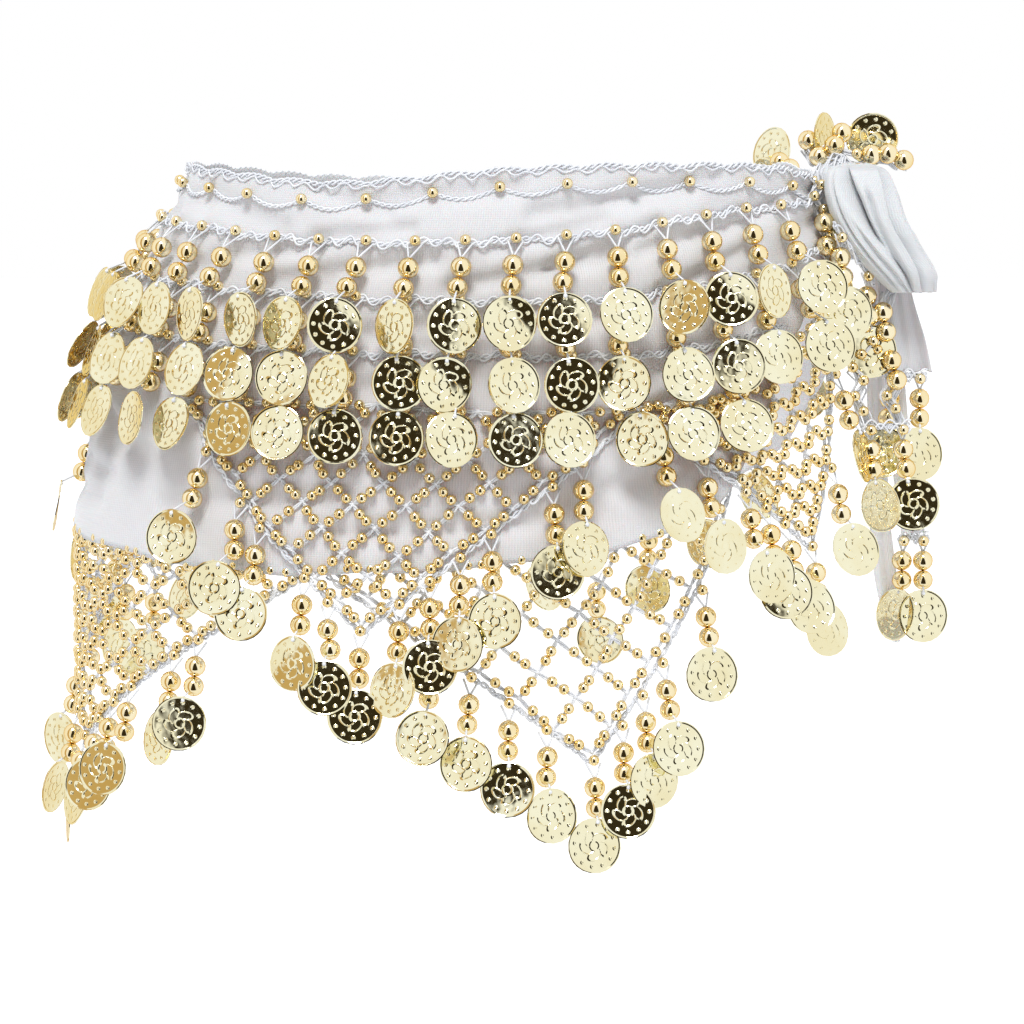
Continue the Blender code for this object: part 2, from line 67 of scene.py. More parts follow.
HEIGHTS = np.array([
    # angle, top, row_1, row_2, row_3, net, hem
    (-268, -0.006, -0.013, -0.024, -0.033, -0.038, -0.044),
    (-258, -0.003, -0.017, -0.039, -0.060, -0.066, -0.070),
    (-246, 0.000, -0.021, -0.046, -0.071, -0.092, -0.106),
    (-232, -0.002, -0.024, -0.050, -0.075, -0.098, -0.138),
    (-215, -0.005, -0.028, -0.054, -0.078, -0.101, -0.162),
    (-180, -0.008, -0.031, -0.056, -0.080, -0.103, -0.168),
    (-145, -0.006, -0.029, -0.054, -0.078, -0.102, -0.167),
    (-110, 0.000, -0.024, -0.049, -0.073, -0.099, -0.165),
    (-90, 0.001, -0.0235, -0.048, -0.072, -0.098, -0.166),
    (-58, -0.002, -0.027, -0.052, -0.076, -0.101, -0.173),
    (-28, -0.006, -0.032, -0.056, -0.080, -0.104, -0.179),
    (0, 0.000, -0.0315, -0.058, -0.082, -0.106, -0.175),
    (22, 0.002, -0.027, -0.057, -0.082, -0.106, -0.166),
    (32, 0.002, -0.023, -0.053, -0.080, -0.104, -0.156),
    (38, 0.002, -0.021, -0.051, -0.078, -0.101, -0.143),
    (44, 0.002, -0.019, -0.049, -0.075, -0.095, -0.119),
    (52, 0.001, -0.018, -0.045, -0.070, -0.084, -0.090),
    (60, 0.000, -0.017, -0.042, -0.064, -0.070, -0.064),
    (68, -0.002, -0.016, -0.036, -0.052, -0.058, -0.050),
    (78, -0.006, -0.013, -0.024, -0.033, -0.040, -0.042),
])
LINES = ("angle", "top", "row_1", "row_2", "row_3", "net", "hem")

PANEL_CREASES = np.array([
    # arc and height of one end, of the other end, width, depth
    (-0.275, -0.012, -0.215, -0.021, 0.0050, 0.0030),
    (-0.235, -0.034, -0.150, -0.047, 0.0045, 0.0034),
    (-0.190, -0.010, -0.120, -0.026, 0.0055, 0.0030),
    (-0.160, -0.040, -0.095, -0.034, 0.0040, 0.0030),
    (-0.120, -0.050, -0.030, -0.040, 0.0042, 0.0037),
    (-0.070, -0.014, 0.010, -0.008, 0.0050, 0.0026),
    (-0.065, -0.074, 0.020, -0.062, 0.0050, 0.0034),
    (-0.020, -0.052, 0.070, -0.038, 0.0040, 0.0041),
    (0.020, -0.020, 0.110, -0.009, 0.0045, 0.0034),
    (0.045, -0.068, 0.120, -0.048, 0.0045, 0.0037),
    (0.080, -0.036, 0.170, -0.016, 0.0040, 0.0041),
    (0.060, -0.098, 0.150, -0.066, 0.0060, 0.0049),
    (0.090, -0.130, 0.165, -0.078, 0.0060, 0.0056),
    (0.020, -0.122, 0.105, -0.100, 0.0065, 0.0041),
    (-0.090, -0.122, 0.005, -0.132, 0.0070, 0.0034),
    (-0.170, -0.118, -0.085, -0.108, 0.0060, 0.0034),
    (-0.150, -0.150, -0.060, -0.142, 0.0060, 0.0030),
    (-0.260, -0.095, -0.190, -0.125, 0.0060, 0.0037),
    (-0.270, -0.145, -0.200, -0.150, 0.0060, 0.0030),
    (-0.060, -0.160, 0.060, -0.152, 0.0055, 0.0026),
    (-0.380, -0.020, -0.310, -0.038, 0.0050, 0.0030),
    (-0.420, -0.060, -0.330, -0.070, 0.0050, 0.0034),
    (-0.500, -0.120, -0.400, -0.135, 0.0070, 0.0037),
    (-0.600, -0.016, -0.510, -0.026, 0.0050, 0.0030),
    (-0.640, -0.090, -0.560, -0.070, 0.0055, 0.0037),
    (-0.700, -0.050, -0.620, -0.066, 0.0045, 0.0041),
    (-0.720, -0.100, -0.650, -0.130, 0.0060, 0.0049),
    (-0.740, -0.020, -0.690, -0.034, 0.0042, 0.0041),
    (-0.250, -0.004, -0.180, -0.018, 0.0040, 0.0025),
    (-0.205, -0.058, -0.150, -0.070, 0.0045, 0.0030),
    (-0.140, -0.062, -0.085, -0.052, 0.0040, 0.0028),
    (-0.110, -0.008, -0.060, -0.020, 0.0040, 0.0025),
    (-0.100, -0.030, -0.045, -0.026, 0.0034, 0.0028),
    (0.000, -0.034, 0.060, -0.022, 0.0034, 0.0030),
    (0.030, -0.044, 0.090, -0.024, 0.0034, 0.0032),
    (0.060, -0.012, 0.130, -0.004, 0.0036, 0.0022),
    (0.090, -0.054, 0.150, -0.034, 0.0036, 0.0032),
    (-0.030, -0.078, 0.050, -0.084, 0.0045, 0.0028),
    (0.070, -0.112, 0.130, -0.090, 0.0050, 0.0037),
    (0.050, -0.146, 0.125, -0.118, 0.0055, 0.0037),
    (-0.120, -0.104, -0.050, -0.096, 0.0050, 0.0028),
    (-0.230, -0.108, -0.170, -0.128, 0.0050, 0.0032),
    (-0.245, -0.132, -0.190, -0.140, 0.0055, 0.0028),
])


def curve_through(places, values, at):
    """Smooth curve: cubic Hermite pieces whose slopes are the mean slopes of the given values."""
    slopes = np.gradient(values, places)
    at = np.asarray(at, dtype=float)
    i = np.clip(np.searchsorted(places, at) - 1, 0, len(places) - 2)
    span = places[i + 1] - places[i]
    t = np.clip((at - places[i]) / span, 0, 1)
    rise = t * t * (3 - 2 * t)
    return (
        values[i] * (1 - rise)
        + values[i + 1] * rise
        + span * slopes[i] * t * (1 - t) ** 2
        - span * slopes[i + 1] * t * t * (1 - t)
    )


def height(line, angle):
    """Height of an edge or of a crocheted line at an angle round the hips."""
    return curve_through(HEIGHTS[:, 0], HEIGHTS[:, LINES.index(line)], angle)


def hip_point(angle, z, out=0.0):
    """Point on the hips. Level sections are ovals: x = sway + a sin(angle), y = -b cos(angle).

    The half sizes a and b grow from the top's to the hips' by 1 - (1 - fall) ** curve.
    """
    angle, z, out = np.broadcast_arrays(angle, z, out)
    swell = 1 - (1 - np.clip(-z / HIP_DROP, 0, 1)) ** HIP_CURVE
    half_width = TOP_HALF_WIDTH + swell * (HIP_HALF_WIDTH - TOP_HALF_WIDTH) + out
    half_depth = TOP_HALF_DEPTH + swell * (HIP_HALF_DEPTH - TOP_HALF_DEPTH) + out
    turn = np.radians(angle)
    return np.stack(
        [swell * SWAY + half_width * np.sin(turn), -half_depth * np.cos(turn), z], axis=-1
    )


def unit(vectors):
    """The vectors at length 1."""
    return vectors / np.maximum(np.linalg.norm(vectors, axis=-1, keepdims=True), 1e-12)


def outward(angle):
    """Level direction square to the hips at an angle."""
    turn = np.radians(angle)
    flat = [HIP_HALF_DEPTH * np.sin(turn), -HIP_HALF_WIDTH * np.cos(turn), 0 * turn]
    return unit(np.stack(flat, axis=-1))


STEPS = np.linspace(-290.0, 80.0, 741)
ARCS = np.linalg.norm(np.diff(hip_point(STEPS, -HIP_DROP), axis=0), axis=1)
ARCS = np.concatenate([[0.0], np.cumsum(ARCS)])
ARCS -= np.interp(0.0, STEPS, ARCS)


def arc_at(angle):
    """Length round the fullest part of the hips, from the front."""
    return np.interp(angle, STEPS, ARCS)


def angle_at(arc):
    """Angle round the hips at a length round them."""
    return np.interp(arc, ARCS, STEPS)


def creases(u, v, table):
    """Depth of soft troughs: depth * exp(-(distance to the crease's line / width) ** 2), added up."""
    sunk = np.zeros(np.broadcast(u, v).shape)
    for u0, v0, u1, v1, width, depth in table:
        run_u, run_v = u1 - u0, v1 - v0
        share = ((u - u0) * run_u + (v - v0) * run_v) / (run_u**2 + run_v**2)
        share = np.clip(share, 0, 1)
        apart = np.hypot(u - u0 - share * run_u, v - v0 - share * run_v)
        sunk += depth * np.exp(-((apart / width) ** 2))
    return sunk


def cloth_out(arc, z):
    """How far the panel stands out from the hips: creases, and gathers that die out from the knot."""
    first, last = arc_at(KNOT_BACK), arc_at(KNOT_FRONT)
    angle = angle_at(arc)
    top, hem = height("top", angle), height("hem", angle)
    down = np.clip((z - top) / (hem - top), 0, 1)
    gather = np.exp(-np.minimum(arc - first, last - arc) / GATHER_REACH)
    groove = GATHER_DEPTH * gather * (0.5 - 0.5 * np.cos(2 * math.pi * GATHER_COUNT * down))
    return -groove - creases(arc, z, PANEL_CREASES) * (1 - gather)


def waves_of_top(arc):
    """Rise of the scalloped top edge."""
    return SCALLOP_RISE * (np.abs(np.cos(math.pi * arc / SCALLOP)) - 0.4)


def between(start, end, share):
    """What lies at a share of the way from start to end."""
    return start * (1 - share) + end * share


def grid_quads(rows, columns, closed=False):
    """Quads of a grid of points, row by row; closed joins the last column to the first."""
    index = np.arange(rows * columns).reshape(rows, columns)
    if closed:
        index = np.concatenate([index, index[:, :1]], axis=1)
    corners = [index[:-1, :-1], index[1:, :-1], index[1:, 1:], index[:-1, 1:]]
    return np.stack(corners, axis=-1).reshape(-1, 4)


def make_piece(name, points, quads, finish, slot, nodes=(), uv=None, sharp=None):
    """Makes a mesh piece that belongs to the belt; uv holds one pair for each point."""
    mesh = bpy.data.meshes.new(name)
    mesh.from_pydata(np.reshape(points, (-1, 3)).tolist(), [], quads.tolist())
    mesh.materials.append(finish)
    mesh.shade_smooth()
    if sharp is not None:
        mesh.set_sharp_from_angle(angle=math.radians(sharp))
    if uv is not None:
        layer = mesh.uv_layers.new(name="UVMap")
        layer.data.foreach_set("uv", np.reshape(uv, (-1, 2))[quads.ravel()].ravel())
    piece = bpy.data.objects.new(name, mesh)
    bpy.context.collection.objects.link(piece)
    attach(piece, "root")
    if nodes:
        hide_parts(*nodes)
    return piece


def give_wall(piece, thickness, offset=-1.0):
    """Gives a sheet of cloth its thickness."""
    wall = piece.modifiers.new("wall", "SOLIDIFY")
    wall.thickness = thickness
    wall.offset = offset


def new_material(name, colour, roughness, metallic=0.0):
    """A material with its Principled shader's constants set; returns it, its tree and the shader."""
    material = bpy.data.materials.new(name)
    material.use_nodes = True
    shader = material.node_tree.nodes["Principled BSDF"]
    shader.inputs["Base Color"].default_value = (*colour, 1)
    shader.inputs["Roughness"].default_value = roughness
    shader.inputs["Metallic"].default_value = metallic
    return material, material.node_tree, shader


def node(tree, kind, settings=None, **sockets):
    """Adds a node. Settings are its own properties; each socket gets a value or a link.

    A socket is named by its label, or by i and its number.
    """
    made = tree.nodes.new("ShaderNode" + kind)
    for key, value in (settings or {}).items():
        setattr(made, key, value)
    for key, value in sockets.items():
        socket = made.inputs[int(key[1:])] if key[1:].isdigit() else made.inputs[key.replace("_", " ")]
        if isinstance(value, bpy.types.NodeSocket):
            tree.links.new(value, socket)
        else:
            socket.default_value = value
    return made


def calc(tree, operation, *values):
    """A Math node's result."""
    sockets = {f"i{i}": value for i, value in enumerate(values)}
    return node(tree, "Math", {"operation": operation}, **sockets).outputs[0]


def noise(tree, place, scale, detail=2.0):
    """Noise from 0 to 1 at a place."""
    return node(tree, "TexNoise", Vector=place, Scale=scale, Detail=detail).outputs["Fac"]


def new_group(name, inputs, outputs):
    """An empty shader group; inputs are (name, kind, default), outputs are (name, kind)."""
    group = bpy.data.node_groups.new(name, "ShaderNodeTree")
    for label, kind, default in inputs:
        socket = group.interface.new_socket(name=label, in_out="INPUT", socket_type="NodeSocket" + kind)
        if default is not None:
            socket.default_value = default
    for label, kind in outputs:
        group.interface.new_socket(name=label, in_out="OUTPUT", socket_type="NodeSocket" + kind)
    start = group.nodes.new("NodeGroupInput")
    end = group.nodes.new("NodeGroupOutput")
    return group, start.outputs, end.inputs


def use_group(tree, group, **sockets):
    """Places a group in a material."""
    return node(tree, "Group", {"node_tree": group}, **sockets)


def mixed(tree, share, one, other):
    """The colour at a share of the way from one to the other."""
    return node(tree, "Mix", {"data_type": "RGBA"}, i0=share, i6=one, i7=other).outputs[2]


def two_tones(tree, share, low, high, start=0.0, end=1.0):
    """A colour that runs from low, where the share is at start, to high at end."""
    ramp = node(tree, "ValToRGB", Fac=share)
    for element, place, colour in zip(ramp.color_ramp.elements, (start, end), (low, high)):
        element.position = place
        element.color = (*colour, 1)
    return ramp.outputs["Color"]


def finish_material(tree, shader, tone, strength, distance, height):
    """Links a material's colour, and its relief as a bump of the given strength and distance."""
    bump = node(tree, "Bump", Strength=strength, Distance=distance, Height=height)
    tree.links.new(tone, shader.inputs["Base Color"])
    tree.links.new(bump.outputs["Normal"], shader.inputs["Normal"])


def build_tricot():
    """Knitted voile: upright wales and level courses as sine waves, with soft uneven patches."""
    group, given, result = new_group(
        "tricot",
        [("Place", "Vector", None), ("Wale", "Float", 0.0012), ("Course", "Float", 0.0009)],
        [("Height", "Float"), ("Shade", "Float")],
    )

    def ribs(place, length):
        """sin(2 pi place / length)"""
        turns = calc(group, "DIVIDE", calc(group, "MULTIPLY", place, math.tau), length)
        return calc(group, "SINE", turns)

    split = node(group, "SeparateXYZ", i0=given["Place"]).outputs
    wobble = noise(group, given["Place"], 60.0)
    across = calc(group, "ADD", split["X"], calc(group, "MULTIPLY", wobble, 0.0012))
    wales = calc(group, "MULTIPLY", ribs(across, given["Wale"]), 0.34)
    courses = calc(group, "MULTIPLY", ribs(split["Y"], given["Course"]), 0.16)
    knit = calc(group, "ADD", wales, courses)
    patch = noise(group, given["Place"], 38.0, 3.0)
    group.links.new(calc(group, "ADD", knit, 0.5), result["Height"])
    soft = calc(group, "MULTIPLY", calc(group, "SUBTRACT", patch, 0.5), 0.16)
    lines = calc(group, "MULTIPLY", knit, 0.17)
    group.links.new(calc(group, "ADD", calc(group, "ADD", soft, lines), 0.5), result["Shade"])
    return group


TRICOT = build_tricot()


def voile_material(name, colour, shadow, wale):
    """Soft knitted voile; its pattern follows the cloth's own flat measure, kept in its UV map."""
    material, tree, shader = new_material(name, colour, 0.85)
    flat = node(tree, "UVMap", {"uv_map": "UVMap"}).outputs["UV"]
    knit = use_group(tree, TRICOT, Place=flat, Wale=wale, Course=wale * 0.75)
    tone = two_tones(tree, knit.outputs["Shade"], shadow, colour, 0.36, 0.64)
    finish_material(tree, shader, tone, 0.5, 0.0003, knit.outputs["Height"])
    shader.inputs["Sheen Weight"].default_value = 0.35
    shader.inputs["Sheen Roughness"].default_value = 0.5
    shader.inputs["Subsurface Weight"].default_value = 0.12
    shader.inputs["Subsurface Scale"].default_value = 0.004
    return material


voile = voile_material("white voile", (0.655, 0.66, 0.675), (0.53, 0.535, 0.55), 0.0013)


def build_panel():
    """Grid in (arc, height): rows run from the scalloped top edge down to the hem."""
    columns, rows = 430, 72
    arc = np.linspace(arc_at(KNOT_BACK), arc_at(KNOT_FRONT), columns)[None, :]
    down = np.linspace(0, 1, rows)[:, None] ** 1.05
    angle = angle_at(arc)
    top = height("top", angle) + waves_of_top(arc)
    hem = height("hem", angle) + 0.0008 * np.sin(arc * 97)
    z = between(top, hem, down)
    arc = np.broadcast_to(arc, z.shape)
    points = hip_point(angle_at(arc), z, cloth_out(arc, z))
    uv = np.stack([arc, z], axis=-1)
    return make_piece(
        "hip_panel", points, grid_quads(rows, columns), voile, "voile", ["wrap_cloth"], uv
    )


hip_panel = build_panel()
give_wall(hip_panel, VOILE)


# Threads, beads and coins: white two-ply crochet thread, small and large plastic beads with a
# gold mirror finish, and thin stamped coins. Each coin hangs by a thread through its hole,
# under two large beads. A small bead sits where the string leaves its line.

THREAD = 0.00050
SMALL_BEAD = 0.0025
LARGE_BEAD = 0.0047
COIN = 0.0123
COIN_WALL = 0.00045
HOLE = 0.86             # place of the coin's hole, as a share of its radius
BEAD_DROPS = (0.0107, 0.0196)
COIN_DROP = 0.0358
BEAD_OUT = 0.0050
BEAD_STEP = 0.0012
COIN_STEP = 0.0014
TURN_ROOM = 0.0080      # how far a coin that is edge-on stands out from the beads behind it
BEAD_SHARE = 0.15       # share of that room by which the lower bead moves out too
HIP_LEAN = 20.0         # degrees that a coin leans on the slope of the hips, at the sides
BRAID_WIDTH = 0.0028
LINE_OUT = 0.0016       # middle of a crocheted line above the cloth
LINE_STEP = 0.0011      # between the points that a crocheted line is drawn through
LINE_BEAD = 0.0012      # how far the small bead stands up and out from its line
THREAD_SPREAD = 0.0035  # half the distance between a string's two roots
COIN_TURN = 15.0        # seeded amounts, in degrees: turn about the thread, tip and roll
COIN_TIP = 5.0
COIN_ROLL = 5.0
BEAD_DRIFT = 0.0005     # seeded amounts, in metres: the lower bead's place, and a coin's bend
COIN_BEND = 0.0005
COIN_TWIST = 0.0008
rng = np.random.default_rng(11)


def tubes(paths, radius, up):
    """Four-sided threads: each ring is its path's point plus radius times two square directions."""
    run = unit(np.gradient(paths, axis=1))
    side = unit(np.cross(run, np.broadcast_to(up, paths.shape)))
    out = np.cross(side, run)
    ring = np.stack([out, -side, -out, side], axis=2) * radius
    points = paths[:, :, None] + ring
    count, length = paths.shape[:2]
    last = 4 * (length - 1)
    caps = [[0, 1, 2, 3], [last + 3, last + 2, last + 1, last]]
    one = np.concatenate([grid_quads(length, 4, closed=True), caps])
    quads = one + (np.arange(count) * length * 4)[:, None, None]
    return points.reshape(-1, 3), quads.reshape(-1, 4)


def round_bead(cells):
    """Unit ball: a cube of six square grids, each point moved along its ray to radius 1."""
    line = np.tan(np.linspace(-1, 1, cells + 1) * math.pi / 4)
    a, b = np.meshgrid(line, line, indexing="ij")
    one = np.ones_like(a)
    sides = [(one, a, b), (-one, b, a), (b, one, a), (a, -one, b), (a, b, one), (b, a, -one)]
    points = unit(np.concatenate([np.stack(side, axis=-1).reshape(-1, 3) for side in sides]))
    quads = grid_quads(cells + 1, cells + 1)
    quads = np.concatenate([quads + i * len(a) ** 2 for i in range(6)])
    points, back = np.unique(np.round(points, 6), axis=0, return_inverse=True)
    return points, back.ravel()[quads]


def stamped_disc(cells):
    """Unit coin: a square grid whose points slide along their rays until its outline is round."""
    line = np.linspace(-1, 1, cells + 1)
    a, b = np.meshgrid(line, line, indexing="ij")
    shrink = np.maximum(np.abs(a), np.abs(b)) / np.maximum(np.hypot(a, b), 1e-9)
    face = np.stack([a * shrink, b * shrink], axis=-1).reshape(-1, 2)
    count = len(face)
    front = grid_quads(cells + 1, cells + 1)
    index = np.arange(count).reshape(cells + 1, cells + 1)
    edge = np.concatenate([index[:-1, 0], index[-1, :-1], index[:0:-1, -1], index[0, :0:-1]])
    ahead = np.roll(edge, -1)
    rim = np.stack([edge, edge + count, ahead + count, ahead], axis=-1)
    quads = np.concatenate([front, front[:, ::-1] + count, rim])
    return face, quads


BALL_LARGE = round_bead(4)
BALL_SMALL = round_bead(3)
BALL_KNOT = round_bead(2)
DISC = stamped_disc(6)


def balls(shape, centres, radius):
    """Copies of a bead at each centre."""
    points, quads = shape
    centres = np.reshape(centres, (-1, 3))
    radius = np.reshape(np.broadcast_to(radius, len(centres)), (-1, 1, 1))
    placed = centres[:, None] + points * radius
    moved = quads + (np.arange(len(centres)) * len(points))[:, None, None]
    return placed.reshape(-1, 3), moved.reshape(-1, 4)


def joined(*shapes):
    """Several (points, quads) shapes as one."""
    points, quads, count = [], [], 0
    for some, faces in shapes:
        points.append(some)
        quads.append(faces + count)
        count += len(some)
    return np.concatenate(points), np.concatenate(quads)


def turned(side, up, away, yaw, pitch, roll):
    """Directions of a coin after roll in its plane, pitch that swings its foot out, and yaw."""
    yaw, pitch, roll = (np.radians(v)[:, None] for v in (yaw, pitch, roll))
    side, up = side * np.cos(roll) + up * np.sin(roll), up * np.cos(roll) - side * np.sin(roll)
    up, away = up * np.cos(pitch) - away * np.sin(pitch), away * np.cos(pitch) + up * np.sin(pitch)
    side, away = side * np.cos(yaw) + away * np.sin(yaw), away * np.cos(yaw) - side * np.sin(yaw)
    return side, up, away


def coins(holes, side, up, away, bend, twist):
    """Coins hung by their holes. Each face is dished by bend * (u*u + v*v) + twist * u * v."""
    face, quads = DISC
    u, v = face[:, 0], face[:, 1]
    dish = bend[:, None] * (u * u + v * v) + twist[:, None] * u * v
    points = []
    for lift in (COIN_WALL / 2, -COIN_WALL / 2):
        points.append(
            holes[:, None]
            + side[:, None] * (u * COIN)[None, :, None]
            + up[:, None] * ((v - HOLE) * COIN)[None, :, None]
            + away[:, None] * (dish + lift)[:, :, None]
        )
    points = np.concatenate(points, axis=1)
    moved = quads + (np.arange(len(holes)) * 2 * len(face))[:, None, None]
    uv = np.tile(np.concatenate([face, face]) * 0.5 + 0.5, (len(holes), 1))
    return points.reshape(-1, 3), moved.reshape(-1, 4), uv


def build_fibre():
    """Spun thread: fine streaks of noise, and a softer change of tone along the work."""
    group, given, result = new_group(
        "fibre", [("Place", "Vector", None)], [("Height", "Float"), ("Shade", "Float")]
    )
    fine = noise(group, given["Place"], 2600.0, 3.0)
    wide = noise(group, given["Place"], 90.0)
    group.links.new(fine, result["Height"])
    blend = calc(group, "ADD", calc(group, "MULTIPLY", fine, 0.5), calc(group, "MULTIPLY", wide, 0.5))
    group.links.new(blend, result["Shade"])
    return group


FIBRE = build_fibre()


def thread_material():
    """White cotton thread with a faint blue-grey shade between its plies."""
    material, tree, shader = new_material("white crochet thread", (0.86, 0.86, 0.89), 0.6)
    place = node(tree, "TexCoord").outputs["Object"]
    fibre = use_group(tree, FIBRE, Place=place)
    shade = fibre.outputs["Shade"]
    tone = two_tones(tree, shade, (0.60, 0.62, 0.67), (0.80, 0.81, 0.84), 0.35, 0.62)
    finish_material(tree, shader, tone, 0.6, 0.0002, fibre.outputs["Height"])
    shader.inputs["Sheen Weight"].default_value = 0.3
    return material


def build_plating():
    """Gold plating: its tone drifts between pale and warm, and fine rubbing dulls it in places."""
    group, given, result = new_group(
        "plating",
        [("Place", "Vector", None), ("Pale", "Color", (1, 1, 1, 1)), ("Warm", "Color", (1, 1, 1, 1))],
        [("Color", "Color"), ("Roughness", "Float")],
    )
    drift = node(group, "MapRange", i0=noise(group, given["Place"], 55.0), i1=0.35, i2=0.65)
    tone = mixed(group, drift.outputs[0], given["Pale"], given["Warm"])
    group.links.new(tone, result["Color"])
    wear = noise(group, given["Place"], 420.0, 4.0)
    rubbed = node(group, "MapRange", i0=wear, i1=0.4, i2=0.75, i3=0.05, i4=0.16)
    group.links.new(rubbed.outputs[0], result["Roughness"])
    return group


def build_relief():
    """Stamped face in coin measure: a raised rim, a ring of twelve dots and a curled rosette.

    The rosette's outline is at the radius 0.36 + 0.18 |sin(2.5 angle + 5 radius)|.
    """
    group, given, result = new_group("relief", [("Place", "Vector", None)], [("Height", "Float")])

    def plus(one, other):
        return calc(group, "ADD", one, other)

    def less(one, other):
        return calc(group, "SUBTRACT", one, other)

    def times(one, other):
        return calc(group, "MULTIPLY", one, other)

    def length(one, other):
        return calc(group, "SQRT", plus(times(one, one), times(other, other)))

    def ridge(distance, width):
        """1 on the line and 0 beyond the width, with a round top."""
        near = calc(group, "DIVIDE", calc(group, "ABSOLUTE", distance), width)
        return calc(group, "SMOOTH_MAX", less(1.0, near), 0.0, 0.15)

    middle = node(group, "VectorMath", {"operation": "SUBTRACT"}, i0=given["Place"], i1=(0.5, 0.5, 0))
    split = node(group, "SeparateXYZ", i0=middle.outputs[0]).outputs
    x, y = (times(split[axis], 2.0) for axis in ("X", "Y"))
    radius = length(x, y)
    around = calc(group, "ARCTAN2", y, x)
    rim = ridge(less(radius, 0.96), 0.05)
    wedge = calc(group, "WRAP", around, math.pi / 12, -math.pi / 12)
    dot_x = less(times(radius, calc(group, "COSINE", wedge)), 0.76)
    dot_y = times(radius, calc(group, "SINE", wedge))
    dots = ridge(less(length(dot_x, dot_y), 0.035), 0.045)
    curl = calc(group, "SINE", plus(times(around, 2.5), times(radius, 5.0)))
    petals = plus(0.36, times(calc(group, "ABSOLUTE", curl), 0.18))
    flower = ridge(less(radius, petals), 0.05)
    bud = ridge(less(radius, 0.17), 0.05)
    veins = times(ridge(curl, 0.30), ridge(less(radius, 0.28), 0.14))
    high = rim
    for part in (dots, flower, bud, veins):
        high = calc(group, "MAXIMUM", high, part)
    group.links.new(high, result["Height"])
    return group


PLATING = build_plating()
RELIEF = build_relief()


def bead_material():
    """Mirror-bright gold beads, warmer than the coins."""
    material, tree, shader = new_material("gold beads", (0.92, 0.74, 0.40), 0.07, 1.0)
    shader.inputs["Specular Tint"].default_value = (0.85, 0.58, 0.25, 1)
    place = node(tree, "TexCoord").outputs["Object"]
    plating = use_group(
        tree, PLATING, Place=place, Pale=(0.97, 0.87, 0.60, 1), Warm=(0.93, 0.77, 0.43, 1)
    )
    tree.links.new(plating.outputs["Color"], shader.inputs["Base Color"])
    tree.links.new(plating.outputs["Roughness"], shader.inputs["Roughness"])
    return material


def coin_material():
    """Thin stamped coins of pale gold; the relief stands up as a bump on the coin's own UV map."""
    material, tree, shader = new_material("stamped gold coins", (0.88, 0.80, 0.46), 0.12, 1.0)
    shader.inputs["Specular Tint"].default_value = (0.85, 0.62, 0.25, 1)
    place = node(tree, "TexCoord").outputs["Object"]
    plating = use_group(
        tree, PLATING, Place=place, Pale=(0.92, 0.89, 0.66, 1), Warm=(0.87, 0.80, 0.52, 1)
    )
    face = node(tree, "UVMap", {"uv_map": "UVMap"}).outputs["UV"]
    relief = use_group(tree, RELIEF, Place=face)
    uneven = noise(tree, place, 190.0, 1.0)
    raised = calc(tree, "ADD", relief.outputs["Height"], calc(tree, "MULTIPLY", uneven, 0.55))
    finish_material(tree, shader, plating.outputs["Color"], 0.9, 0.00028, raised)
    tree.links.new(plating.outputs["Roughness"], shader.inputs["Roughness"])
    return material


thread = thread_material()
bead_gold = bead_material()
coin_gold = coin_material()


def around_hips(points):
    """Rough outward direction at points on or near the hips."""
    flat = points * np.array([1 / HIP_HALF_WIDTH**2, 1 / HIP_HALF_DEPTH**2, 0.0])
    return unit(flat - np.array([SWAY / HIP_HALF_WIDTH**2, 0, 0]))


def chain(arc, z, out, turn_length=0.0085, reach=0.0008):
    """Crocheted chain: two plies that circle the line, at reach, once each turn length."""
    step = np.hypot(np.gradient(arc), np.gradient(z))
    run = np.cumsum(step)
    slope = unit(np.stack([np.gradient(arc), np.gradient(z)], axis=-1))
    plies = []
    for phase in (0, math.pi):
        swing = 2 * math.pi * run / turn_length + phase
        off = reach * np.sin(swing)
        rise = 0.6 * reach * np.cos(swing)
        plies.append(hip_point(angle_at(arc - slope[:, 1] * off), z + slope[:, 0] * off, out + rise))
    return np.stack(plies)


def picots(arc, z, out, reach, length):
    """A thread that zigzags loosely over the chain, a rounded peak every length."""
    run = np.cumsum(np.hypot(np.gradient(arc), np.gradient(z)))
    wave = np.sin(math.pi * 2 * run / length + 0.9 * np.sin(run * 61))
    off = reach * wave * (1.2 - 0.2 * wave * wave)
    return hip_point(angle_at(arc), z + off, out + 0.0003 * np.cos(run * 900))[None]


Strings = namedtuple("Strings", "knot left right first second hole side up away")


def hang(arc, z, swing, bead_out, coin_out):
    """Places of strings that hang against the hips from (arc, z), leaning by swing degrees."""
    turn = np.radians(swing)
    ratio = HIP_HALF_WIDTH / TOP_HALF_WIDTH

    def at(drop, out):
        angle = angle_at(arc + np.sin(turn) * drop * np.where(np.abs(swing) > 45, ratio, 1.0))
        return hip_point(angle, z - np.cos(turn) * drop, out), outward(angle)

    hole_drop = COIN_DROP - HOLE * COIN
    hole, away = at(hole_drop, coin_out)
    level = np.stack([-away[:, 1], away[:, 0], 0 * arc], axis=-1)
    up_world = np.array([0.0, 0.0, 1.0])
    side = level * np.cos(turn)[:, None] + up_world * np.sin(turn)[:, None]
    up = up_world * np.cos(turn)[:, None] - level * np.sin(turn)[:, None]
    root_out = LINE_OUT + bead_out - BEAD_OUT
    root = at(0 * arc, root_out)[0]
    return Strings(
        at(0 * arc - LINE_BEAD, root_out + LINE_BEAD)[0],
        root - side * THREAD_SPREAD,
        root + side * THREAD_SPREAD,
        at(BEAD_DROPS[0], bead_out)[0],
        at(BEAD_DROPS[1], bead_out + BEAD_STEP)[0],
        hole,
        side,
        up,
        away,
    )


